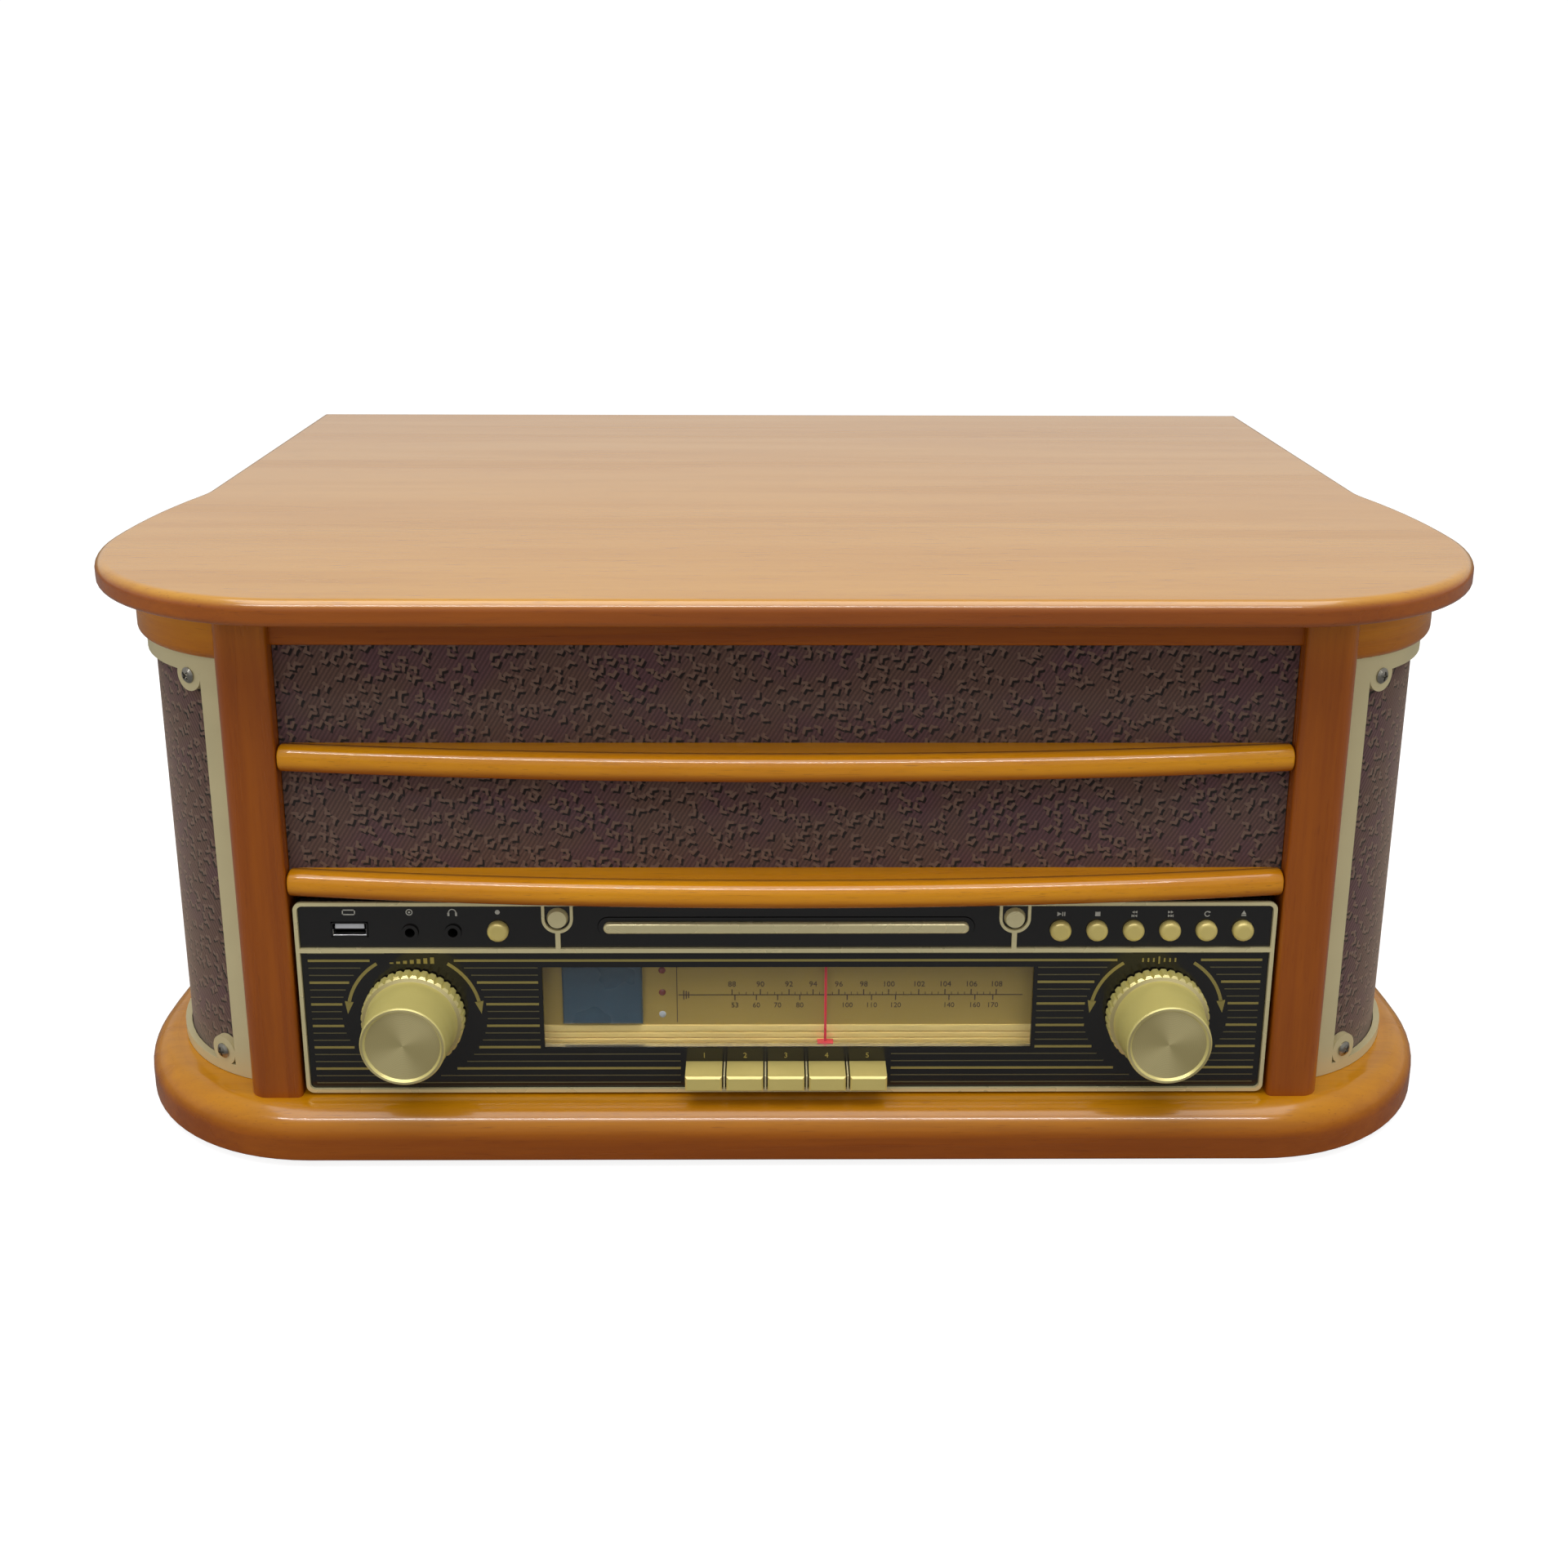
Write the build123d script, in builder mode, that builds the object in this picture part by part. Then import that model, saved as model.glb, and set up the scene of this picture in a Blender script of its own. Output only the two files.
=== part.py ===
"""A wooden music centre: record player under a lid, disc drawer, tuner dial and side speakers.

X is to the right, Y to the back and Z up, in millimetres. The origin is on the table, under the
middle of the closed lid. Each piece is written to its own STEP file in parts/.
"""

from build123d import *
import math
import os

os.makedirs("parts", exist_ok=True)

# Clearances
RUNNING = 0.05        # radial, between a shaft and its hole
SLIDING = 0.1         # around a button or key in the fascia
LOOSE = 0.3           # between curved faces or pieces that only pass each other
FIT = 0.2             # around a piece that is set into another

# Case heights, from the table up
FOOT_HEIGHT = 3.0
FOOT_RADIUS = 11.0
FOOT_X = 5.0          # outside the fascia's end
FOOT_Y = 112.0
FOOT_CHAMFER = 0.8
BASE_THICKNESS = 19.0
CASE_HEIGHT = 191.0
LID_THICKNESS = 9.4
LID_ROUNDINGS = (3.8, 2.2)
BASE_ROUNDINGS = (10.0, 1.0)
RAIL_HEIGHT = 21.5
DECK_DEPTH = 53.0
DECK_THICKNESS = 3.0

# The fascia's width leads: what stands beside it or lies across it keeps its share
FASCIA_WIDTH = 360.0
HALF_FASCIA = FASCIA_WIDTH / 2
SPREAD = FASCIA_WIDTH / 360.0

# Plan outline of the lid, case and base: a front corner arc, a long swell and a hollow that
# leads into the straight side. Each corner is (x, y, radius).
LID_CORNER = (HALF_FASCIA - 11.7, -92.4, 89.6)
BASE_CORNER = (HALF_FASCIA - 3.0, -91.2, 80.0)
CASE_CORNER = (HALF_FASCIA + 3.0, -88.0, 62.0)
SWELL_RADIUS = 282.0
SWELL_LENGTH = 72.0
BLEND_RADIUS = 40.0
LID_BACK = 181.0
BASE_BACK = 174.0
CASE_BACK = 171.0

# Fascia
FASCIA_HEIGHT = 78.2
FASCIA_Y = -156.0
FASCIA_LIFT = 1.0
FASCIA_WALL = 3.0
FASCIA_DEPTH = 10.0
FASCIA_RADIUS = 3.0
TRIM_RISE = 1.2
TRIM_WIDTH = 1.4
DIVIDER_HEIGHT = 58.0
DIVIDER_WIDTH = 1.6

# Front pillars, rails and grille
PILLAR_WIDTH = 20.0
PILLAR_DEPTH = 24.0
PILLAR_LEAD = 3.0
PILLAR_GAP = 1.5
PILLAR_ROUNDING = 7.0
PILLAR_EDGE = 2.0
FRONT_RAIL_HEIGHT = 14.4
FRONT_RAIL_SETBACK = 1.0
FRONT_RAIL_EDGE = 1.5
GRILLE_SETBACK = 4.0
GRILLE_THICKNESS = 5.0
GRILLE_LIFT = 0.5     # above the fascia
MOULDING_HEIGHT = 9.8
MOULDING_HEIGHTS = (80.2, 128.8)
MOULDING_ROUNDING = 3.9
MOULDING_END_ROUNDING = 2.0
MOULDING_END_LEAD = 2.0
MOULDING_BOW = 10.5

# Sides and speakers
SIDE_WALL = 11.6
RAIL_LEAD = 3.0
RAIL_ROUNDING = 2.5
WALL_WINDOW_LIFT = 18.0
WALL_WINDOW_ANGLE = -60.0
LEDGE_HEIGHT = 5.0
LEDGE_WIDTH = 8.0
BACK_THICKNESS = 6.0
BACK_SCREW_X = HALF_FASCIA + 34.0
BACK_SCREW_HEIGHTS = (36.0, 90.0, 148.0)
RECESS_DEPTH = 3.6
RECESS_END = -43.7
FRAME_THICKNESS = 2.4
FRAME_GAP = 1.0
FRAME_TOP_BAND = 6.8
FRAME_BOTTOM_BAND = 4.0
FRAME_FRONT_ANGLE = -63.5
FRAME_BACK_BAR = 8.0
LUG_RADIUS = 6.0
LUG_ANGLE = -58.0
LUG_BACK_LENGTH = 30.0
LUG_HEIGHTS = (8.0, 160.0)
CLOTH_THICKNESS = 0.8
SPEAKER_RADIUS = 39.0
SPEAKER_HEIGHT = 84.0
SPEAKER_BOARD = 8.0
SCREW_HEAD = 3.0
SCREW_SHANK = 1.5
SCREW_RISE = 1.5

# Knobs
KNOB_X = 138.0 * SPREAD
KNOB_Z = 32.2
KNOB_RING_RADIUS = 18.9
KNOB_RING_DEPTH = 5.2
KNOB_BODY_RADIUS = 17.0
KNOB_FACE_RADIUS = 15.4
KNOB_REACH = 23.0
KNOB_TEETH = 36
KNOB_GAP = 0.8
SHAFT_RADIUS = 3.0
SHAFT_REACH = 14.0

# Dial
WINDOW_LEFT = -90.3 * SPREAD
WINDOW_RIGHT = 91.8 * SPREAD
WINDOW_BOTTOM = 18.2
WINDOW_TOP = 51.5
WINDOW_GLASS = 2.0
DIAL_RECESS = 10.0
DIAL_WALL = 1.2
RAIL_RADIUS = 1.0
POINTER_X = 14.9
POINTER_WIDTH = 0.9
DISPLAY_LEFT = -84.0 * SPREAD
DISPLAY_WIDTH = 30.0
DISPLAY_BOTTOM = 24.0
DISPLAY_HEIGHT = 26.5

# Disc strip
STRIP_Z = 68.0
DRAWER_WIDTH = 138.5
DRAWER_HEIGHT = 8.0
DRAWER_BAR_WIDTH = 134.0
DRAWER_BAR_HEIGHT = 4.2
TRAY_WIDTH = 130.0
TRAY_DEPTH = 140.0
TRAY_THICKNESS = 6.0
DISC_RECESS_RADIUS = 60.5
STEM_X = 83.8 * SPREAD
STUD_Z = 71.6
STUD_RADIUS = 4.0
STUD_RISE = 1.8
STEM_WIDTH = 1.8
CUP_RADIUS = 5.75
CUP_WIDTH = 1.1
USB_X = -160.0 * SPREAD
USB_Z = 67.0
USB_WIDTH = 13.2
USB_HEIGHT = 5.8
JACK_X = (-137.9 * SPREAD, -122.2 * SPREAD)
JACK_Z = 66.0
JACK_RADIUS = 3.0
JACK_BORE = 1.8
JACK_DEPTH = 14.0

# Buttons and keys
BUTTON_RADIUS = 3.9
BUTTON_RISE = 2.6
BUTTON_Z = 66.5
RECORD_X = -105.7 * SPREAD
TRANSPORT_X = 100.8 * SPREAD
TRANSPORT_PITCH = 13.44 * SPREAD
BUTTON_TRAVEL = 1.2
KEY_PITCH = 15.3
KEY_WIDTH = 13.6
KEY_BOTTOM = 6.2
KEY_HEIGHT = 6.1
KEY_REACH = 11.0
KEY_TRAVEL = 4.0
SWITCH_DEPTH = 9.8
BANK_DEPTH = 12.0
BANK_WIDTH = 84.0
BOARD_DEPTH = 17.0
BOARD_THICKNESS = 1.6

# Turntable
PLATTER_X = -45.0
PLATTER_Y = 9.0
PLATTER_RADIUS = 110.0
PLATTER_HEIGHT = 12.0
PLATTER_RIM = 4.0
PLATTER_LIFT = 3.5
DRUM_RADIUS = PLATTER_RADIUS - 25.0
MAT_THICKNESS = 3.0
MAT_INSET = 2.0
MAT_GROOVES = 4
MAT_GROOVE_WIDTH = 3.0
MAT_GROOVE_DEPTH = 0.8
MAT_GROOVE_START = 45.0
MAT_GROOVE_EDGE = 12.0
SPINDLE_RADIUS = 3.57
SPINDLE_RISE = 11.0
BEARING_RADIUS = 4.2
BEARING_RISE = 0.3
HUB_RADIUS = 12.0
PULLEY_RADIUS = 5.0
PULLEY_DISTANCE = DRUM_RADIUS + 11.0
PULLEY_ANGLE = 135.0
BELT_THICKNESS = 0.6
BELT_HEIGHT = 4.0

# Tonearm
ARM_X = HALF_FASCIA - 30.0
ARM_LENGTH = 222.0
ARM_HEIGHT = 35.0
ARM_TUBE_RADIUS = 4.0
ARM_POST_RADIUS = 12.0
ARM_PIN_RADIUS = 1.5
REST_DISTANCE = 150.0
LIFT_DISTANCE = 60.0
LIFT_SPAN = 54.0
CUE_OFFSET = (16.0, -47.0)
CUE_PIVOT_HEIGHT = 12.0
CUE_REST_ANGLE = 12.0
CUE_LENGTH = 26.0
SPIGOT_RADIUS = 4.0
LIFT_PIN_RADIUS = 2.0
STUB_RADIUS = 3.0
STUB_LENGTH = 50.0
well_length = CASE_BACK - BACK_THICKNESS - FASCIA_Y - GRILLE_SETBACK - GRILLE_THICKNESS
well_middle = CASE_BACK - BACK_THICKNESS - well_length / 2
ARM_Y = well_middle + (ARM_LENGTH - STUB_LENGTH) / 2
CLIP_PIN_RADIUS = 0.9
CLIP_GAP = 0.8
CLIP_SWING = 100.0
SELECTOR_X = HALF_FASCIA + 10.0
SELECTOR_Y = -20.0
SELECTOR_SLOT = 5.0
SELECTOR_TRAVEL = 12.0

# Lid hinges and stay
HINGE_X = 130.0
HINGE_LENGTH = 50.0
KNUCKLE_RADIUS = 2.4
LEAF_THICKNESS = 1.2
HINGE_PIN_RADIUS = 1.0
LID_ANGLE = 60.0
STAY_PIVOT_Y = 150.0
STAY_PIVOT_DROP = 33.0
STAY_LENGTH = 120.0
STAY_ANGLE = 12.0
STAY_X = HALF_FASCIA + 34.0
STAY_THICKNESS = 2.0
STAY_PIN_RADIUS = 2.0
BRACKET_THICKNESS = 1.5
BRACKET_GAP = 2.5

# Back panel
VENT_Z = 95.0
VENT_PITCH = 38.0
VENT_LENGTH = 30.0
REAR_Z = 46.0
INLET_X = 150.0
INLET_WIDTH = 22.0
INLET_HEIGHT = 13.0
LINE_OUT_X = (78.0, 96.0)
LINE_OUT_RADIUS = 4.1

# Levels worked out from the sizes above
base_top = FOOT_HEIGHT + BASE_THICKNESS
case_top = base_top + CASE_HEIGHT
lid_bottom = case_top + LOOSE
lid_top = lid_bottom + LID_THICKNESS
rail_bottom = case_top - RAIL_HEIGHT
fascia_bottom = base_top + FASCIA_LIFT
fascia_top = fascia_bottom + FASCIA_HEIGHT
deck_top = case_top - DECK_DEPTH
deck_bottom = deck_top - DECK_THICKNESS
ledge_bottom = deck_bottom - LEDGE_HEIGHT
grille_y = FASCIA_Y + GRILLE_SETBACK
grille_back = grille_y + GRILLE_THICKNESS
pillar_inner = FASCIA_WIDTH / 2 + PILLAR_GAP
pillar_outer = pillar_inner + PILLAR_WIDTH
pillar_front = FASCIA_Y - PILLAR_LEAD
pillar_back = pillar_front + PILLAR_DEPTH
swell_angle = math.degrees(math.asin(SWELL_LENGTH / SWELL_RADIUS))
side_straight = (CASE_CORNER[0] + CASE_CORNER[2] - SWELL_RADIUS - BLEND_RADIUS
                 + (SWELL_RADIUS + BLEND_RADIUS) * math.cos(math.radians(swell_angle)))
board_y = FASCIA_Y + BOARD_DEPTH
frame_start = pillar_outer + FRAME_GAP


def save(piece, name):
    """Name the finished piece and write it to its own file."""
    piece.part.label = name
    export_step(piece.part, f"parts/{name}.step")


def plan_face(corner, back, outset=0.0):
    """The face seen from above, from the front edge to the back, moved out by outset."""
    corner_x, corner_y, radius = corner
    swell = SWELL_RADIUS + outset
    blend = BLEND_RADIUS - outset
    swell_centre = corner_x + radius - SWELL_RADIUS
    reach = SWELL_RADIUS + BLEND_RADIUS
    blend_x = swell_centre + reach * math.cos(math.radians(swell_angle))
    blend_y = corner_y + reach * math.sin(math.radians(swell_angle))
    front_y = corner_y - radius - outset
    with BuildSketch(Plane.XY) as face:
        with BuildLine():
            Line((0, front_y), (corner_x, front_y))
            CenterArc((corner_x, corner_y), radius + outset, -90, 90)
            CenterArc((swell_centre, corner_y), swell, 0, swell_angle)
            hollow = CenterArc((blend_x, blend_y), blend, 180 + swell_angle, -swell_angle)
            Line(hollow @ 1, (blend_x - blend, back))
            Line((blend_x - blend, back), (0, back))
            mirror(about=Plane.YZ)
        make_face()
    return face.sketch


def block(x_range, y_range, z_range, mode=Mode.ADD):
    """A block between two X, two Y and two Z values."""
    spans = (x_range, y_range, z_range)
    middle = tuple((low + high) / 2 for low, high in spans)
    sizes = tuple(high - low for low, high in spans)
    with Locations(middle):
        Box(*sizes, mode=mode)


def front_plane(depth):
    """A plane facing the front, depth behind the fascia's face."""
    return Plane.XZ.offset(-(FASCIA_Y + depth))


def up(height):
    """A height above the fascia's lower edge, measured from the table."""
    return fascia_bottom + height


def case_surface(side, turn, height, outset=0.0):
    """A plane on the curved case side, square to it: on the corner arc where turn is
    negative, on the swell where it is positive."""
    corner_x, corner_y, radius = CASE_CORNER
    if turn > 0:
        corner_x = corner_x + radius - SWELL_RADIUS
        radius = SWELL_RADIUS
    angle = math.radians(turn)
    reach = radius + outset
    spot = (side * (corner_x + reach * math.cos(angle)), corner_y + reach * math.sin(angle), height)
    outward = (side * math.cos(angle), math.sin(angle), 0)
    return Plane(origin=spot, x_dir=(0, 0, 1), z_dir=outward)


def wedge_face(side, turn, end_y):
    """Everything outside the case corner's centre, from a turn on the corner arc back to end_y."""
    tip = case_surface(side, turn, 0, 40).origin
    far_x = side * 300
    centre_x = side * CASE_CORNER[0]
    with BuildSketch(Plane.XY) as face:
        with BuildLine():
            Polyline((centre_x, CASE_CORNER[1]), (tip.X, tip.Y), (far_x, tip.Y),
                     (far_x, end_y), (centre_x, end_y), close=True)
        make_face()
    return face.sketch


def half_plan(side, start_x, low_y, high_y):
    """Keep only what lies outside start_x on one side, between two Y values."""
    with Locations((side * (start_x + 100), (low_y + high_y) / 2)):
        Rectangle(200, high_y - low_y, mode=Mode.INTERSECT)


# Base board, a thick board with a rounded edge all round the front and sides
with BuildPart() as base_board:
    with BuildSketch(Plane.XY.offset(FOOT_HEIGHT)):
        add(plan_face(BASE_CORNER, BASE_BACK))
    extrude(amount=BASE_THICKNESS)
    for face_index, rounding in ((-1, BASE_ROUNDINGS[0]), (0, BASE_ROUNDINGS[1])):
        rim = base_board.faces().filter_by(Axis.Z).sort_by(Axis.Z)[face_index].edges()
        fillet(rim.filter_by(lambda edge: edge.center().Y < BASE_BACK - 1), radius=rounding)
save(base_board, "base_board")

# Rubber feet under the base board
foot_x = HALF_FASCIA + FOOT_X
with BuildPart() as rubber_feet:
    with BuildSketch(Plane.XY):
        with GridLocations(2 * foot_x, 2 * FOOT_Y, 2, 2):
            Circle(FOOT_RADIUS)
    extrude(amount=FOOT_HEIGHT)
    chamfer(rubber_feet.edges().group_by(Axis.Z)[0], length=FOOT_CHAMFER)
save(rubber_feet, "rubber_feet")

# Front pillars, well rounded at the outer front corner
with BuildPart() as front_pillars:
    with BuildSketch(Plane.XY.offset(base_top)):
        with Locations((0, (pillar_front + pillar_back) / 2)):
            with GridLocations(pillar_inner + pillar_outer, 1, 2, 1):
                Rectangle(PILLAR_WIDTH, PILLAR_DEPTH)
    extrude(amount=CASE_HEIGHT)
    front_edges = front_pillars.edges().filter_by(Axis.Z).group_by(Axis.Y)[0]
    fillet(front_edges.filter_by(lambda edge: abs(edge.center().X) > pillar_outer - 1), radius=PILLAR_ROUNDING)
    front_edges = front_pillars.edges().filter_by(Axis.Z).group_by(Axis.Y)[0]
    fillet(front_edges.filter_by(lambda edge: abs(edge.center().X) < pillar_inner + 1), radius=PILLAR_EDGE)
save(front_pillars, "front_pillars")

# Top front rail and the two bowed mouldings that cross the grille
with BuildPart() as front_rails:
    rail_front = FASCIA_Y + FRONT_RAIL_SETBACK
    block((-pillar_inner, pillar_inner), (rail_front, grille_back),
          (case_top - FRONT_RAIL_HEIGHT, case_top))
    fillet(front_rails.edges().filter_by(Axis.X).group_by(Axis.Y)[0], radius=FRONT_RAIL_EDGE)
    for height in MOULDING_HEIGHTS:
        end_x = pillar_inner - FIT
        with BuildSketch(Plane.XY.offset(up(height))):
            with BuildLine():
                bow = ThreePointArc((-end_x, FASCIA_Y - MOULDING_END_LEAD),
                                    (0, FASCIA_Y - MOULDING_END_LEAD - MOULDING_BOW),
                                    (end_x, FASCIA_Y - MOULDING_END_LEAD))
                Polyline(bow @ 1, (end_x, grille_y), (-end_x, grille_y), bow @ 0)
            make_face()
        moulding = extrude(amount=MOULDING_HEIGHT)
        ends = moulding.edges().filter_by(Axis.Z).filter_by(
            lambda edge: edge.center().Y < FASCIA_Y)
        fillet(ends, radius=MOULDING_END_ROUNDING)
        long_edges = front_rails.edges().filter_by(GeomType.CIRCLE).filter_by(
            lambda edge: edge.length > pillar_inner)
        level = long_edges.filter_by(
            lambda edge: up(height) - 1 < edge.center().Z < up(height) + MOULDING_HEIGHT + 1)
        fillet(level, radius=MOULDING_ROUNDING)
save(front_rails, "front_rails")

# Grille board behind the mouldings, covered with cloth
with BuildPart() as front_grille:
    block((-pillar_inner + FIT, pillar_inner - FIT), (grille_y, grille_back),
          (fascia_top + GRILLE_LIFT, case_top - FRONT_RAIL_HEIGHT))
save(front_grille, "front_grille")

# Curved case sides: top rail, recessed wall behind the cloth, a window and the speaker board
speaker_front = case_surface(1, -65.0, 0, -SIDE_WALL).origin
speaker_back = case_surface(1, math.degrees(math.asin(42.0 / SWELL_RADIUS)), 0, -SIDE_WALL).origin
board_run = (speaker_back - speaker_front).normalized()
board_out = Vector(board_run.Y, -board_run.X, 0)
board_middle = (speaker_front + speaker_back) / 2
speaker_z = up(SPEAKER_HEIGHT)


def mirrored(point, side):
    """The point on the left or right half of the case."""
    return (side * point.X, point.Y, point.Z)


def speaker_plane(side, inset):
    """A plane on the speaker board, facing out, inset from the board's outer face."""
    spot = board_middle - board_out * inset + Vector(0, 0, speaker_z)
    return Plane(origin=mirrored(spot, side), x_dir=(0, 0, 1), z_dir=mirrored(board_out, side))


for name, side in (("left_side", -1), ("right_side", 1)):
    with BuildPart() as case_side:
        with BuildSketch(Plane.XY.offset(base_top)):
            add(plan_face(CASE_CORNER, CASE_BACK))
            add(plan_face(CASE_CORNER, CASE_BACK + 1, -SIDE_WALL), mode=Mode.SUBTRACT)
            half_plan(side, pillar_outer, FASCIA_Y, CASE_BACK)
        extrude(amount=CASE_HEIGHT)
        with BuildSketch(Plane.XY.offset(base_top)):
            add(plan_face(CASE_CORNER, CASE_BACK, 5))
            add(plan_face(CASE_CORNER, CASE_BACK + 1, -RECESS_DEPTH), mode=Mode.SUBTRACT)
            half_plan(side, pillar_outer, FASCIA_Y, RECESS_END)
        extrude(amount=rail_bottom - base_top, mode=Mode.SUBTRACT)
        with BuildSketch(Plane.XY.offset(rail_bottom)):
            add(plan_face(CASE_CORNER, CASE_BACK, RAIL_LEAD))
            add(plan_face(CASE_CORNER, CASE_BACK + 1, -SIDE_WALL), mode=Mode.SUBTRACT)
            half_plan(side, pillar_outer, FASCIA_Y, CASE_BACK)
        extrude(amount=RAIL_HEIGHT)
        with BuildSketch(Plane.XY.offset(up(WALL_WINDOW_LIFT))):
            add(wedge_face(side, WALL_WINDOW_ANGLE, RECESS_END - 2 * FRAME_BACK_BAR))
        extrude(amount=ledge_bottom - 1 - up(WALL_WINDOW_LIFT), mode=Mode.SUBTRACT)
        inward = board_out * SPEAKER_BOARD
        board_start = speaker_front - board_run
        board_end = speaker_back + board_run * 3
        corners = (board_start, board_end, board_end - inward, board_start - inward)
        with BuildSketch(Plane.XY.offset(base_top)):
            with BuildLine():
                Polyline(*[(side * spot.X, spot.Y) for spot in corners], close=True)
            make_face()
        extrude(amount=ledge_bottom - base_top)
        with BuildSketch(speaker_plane(side, SPEAKER_BOARD)):
            Circle(SPEAKER_RADIUS - 6)
        extrude(amount=SPEAKER_BOARD, mode=Mode.SUBTRACT)
        with BuildSketch(Plane.XY.offset(ledge_bottom)):
            add(plan_face(CASE_CORNER, CASE_BACK, -SIDE_WALL + 1))
            add(plan_face(CASE_CORNER, CASE_BACK + 1, -SIDE_WALL - LEDGE_WIDTH), mode=Mode.SUBTRACT)
            half_plan(side, pillar_inner, pillar_back, CASE_BACK - BACK_THICKNESS)
        extrude(amount=deck_bottom - ledge_bottom)
        lip = case_side.faces().filter_by(Axis.Z).filter_by(
            lambda face: abs(face.center().Z - rail_bottom) < 0.1).edges()
        outer_radii = (CASE_CORNER[2] + RAIL_LEAD, SWELL_RADIUS + RAIL_LEAD)
        outer_lip = lip.filter_by(GeomType.CIRCLE).filter_by(
            lambda edge: min(abs(edge.radius - radius) for radius in outer_radii) < 0.1)
        fillet(outer_lip, radius=RAIL_ROUNDING)
    save(case_side, name)

# Speaker frames, bent to the case corner, with four lugs each
lug_back_angle = math.degrees(math.asin(LUG_BACK_LENGTH / SWELL_RADIUS))
lug_spots = [(turn, up(height)) for turn in (LUG_ANGLE, lug_back_angle) for height in LUG_HEIGHTS]
frame_bottom = base_top + FIT
frame_top = rail_bottom - FIT


def frame_window(side):
    """The opening of a speaker frame, with a round corner left for each lug."""
    low = frame_bottom + FRAME_BOTTOM_BAND
    with BuildPart() as window:
        with BuildSketch(Plane.XY.offset(low)):
            add(wedge_face(side, FRAME_FRONT_ANGLE, RECESS_END - FRAME_BACK_BAR))
        extrude(amount=frame_top - FRAME_TOP_BAND - low)
        for turn, height in lug_spots:
            with BuildSketch(case_surface(side, turn, height, 5)):
                Circle(LUG_RADIUS)
            extrude(amount=-20, mode=Mode.SUBTRACT)
    return window.part


with BuildPart() as speaker_frames:
    for side in (-1, 1):
        with BuildSketch(Plane.XY.offset(frame_bottom)):
            add(plan_face(CASE_CORNER, CASE_BACK))
            add(plan_face(CASE_CORNER, CASE_BACK + 1, -FRAME_THICKNESS), mode=Mode.SUBTRACT)
            half_plan(side, frame_start, FASCIA_Y, RECESS_END - FIT)
        extrude(amount=frame_top - frame_bottom)
        add(frame_window(side), mode=Mode.SUBTRACT)
        for turn, height in lug_spots:
            with BuildSketch(case_surface(side, turn, height, 1)):
                Circle(SCREW_SHANK + RUNNING)
            extrude(amount=-FRAME_THICKNESS - 2, mode=Mode.SUBTRACT)
save(speaker_frames, "speaker_frames")

# Cloth stretched behind each speaker frame
with BuildPart() as speaker_cloths:
    for side in (-1, 1):
        face_inset = FRAME_THICKNESS + FIT
        with BuildSketch(Plane.XY.offset(frame_bottom + 1)):
            add(plan_face(CASE_CORNER, CASE_BACK, -face_inset))
            add(plan_face(CASE_CORNER, CASE_BACK + 1, -face_inset - CLOTH_THICKNESS),
                mode=Mode.SUBTRACT)
            half_plan(side, frame_start, FASCIA_Y, RECESS_END - 1)
        extrude(amount=frame_top - frame_bottom - 2)
save(speaker_cloths, "speaker_cloths")

# Loudspeakers against the inside of the speaker boards
with BuildPart() as speakers:
    for side in (-1, 1):
        seat = speaker_plane(side, SPEAKER_BOARD)
        inward = seat.z_dir * -1
        with BuildSketch(Plane(origin=seat.origin, x_dir=(0, 0, 1),
                               z_dir=Vector(0, 0, 1).cross(inward))):
            with BuildLine():
                Polyline((0, 11), (9, 14), (31, 1), (33, 0), (SPEAKER_RADIUS, 0),
                         (SPEAKER_RADIUS, 2.5), (34, 2.5), (24, 20), (25, 20), (25, 34),
                         (0, 34), close=True)
            make_face()
        revolve(axis=Axis(seat.origin, inward))
save(speakers, "speakers")

# Cross-head screws of the speaker frames and the back panel
back_screws = [(x, z) for x in (-BACK_SCREW_X, BACK_SCREW_X) for z in BACK_SCREW_HEIGHTS]


def back_plane(x=0.0, z=0.0):
    """A plane on the back panel's outer face, facing back."""
    return Plane(origin=(x, CASE_BACK, z), x_dir=(-1, 0, 0), z_dir=(0, 1, 0))


def screw(seat, length):
    """A screw whose head sits on a plane."""
    with BuildPart() as fastener:
        with BuildSketch(seat):
            Circle(SCREW_HEAD)
        extrude(amount=SCREW_RISE, taper=30)
        with BuildSketch(seat):
            Circle(SCREW_SHANK)
        extrude(amount=-length)
    return fastener.part


with BuildPart() as panel_screws:
    for side in (-1, 1):
        for turn, height in lug_spots:
            add(screw(case_surface(side, turn, height), FRAME_THICKNESS - 0.2))
    for x, z in back_screws:
        add(screw(back_plane(x, z), BACK_THICKNESS - 1))
save(panel_screws, "panel_screws")

# Fascia, a shallow tray with holes for everything that shows or moves through it
window_x = (WINDOW_LEFT + WINDOW_RIGHT) / 2
window_z = up((WINDOW_BOTTOM + WINDOW_TOP) / 2)
window_width = WINDOW_RIGHT - WINDOW_LEFT
window_height = WINDOW_TOP - WINDOW_BOTTOM
fascia_middle = (0, fascia_bottom + FASCIA_HEIGHT / 2)
button_names = ("play_button", "stop_button", "back_button", "forward_button",
                "repeat_button", "eject_button")
button_x = {"record_button": RECORD_X}
for index, name in enumerate(button_names):
    button_x[name] = TRANSPORT_X + index * TRANSPORT_PITCH
key_names = ("tuner_key", "disc_key", "tape_key", "phono_key", "tone_key")
key_x = {name: (index - 2) * KEY_PITCH for index, name in enumerate(key_names)}
key_z = up(KEY_BOTTOM + KEY_HEIGHT / 2)
jack_spots = [(x, up(JACK_Z)) for x in JACK_X]

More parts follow.
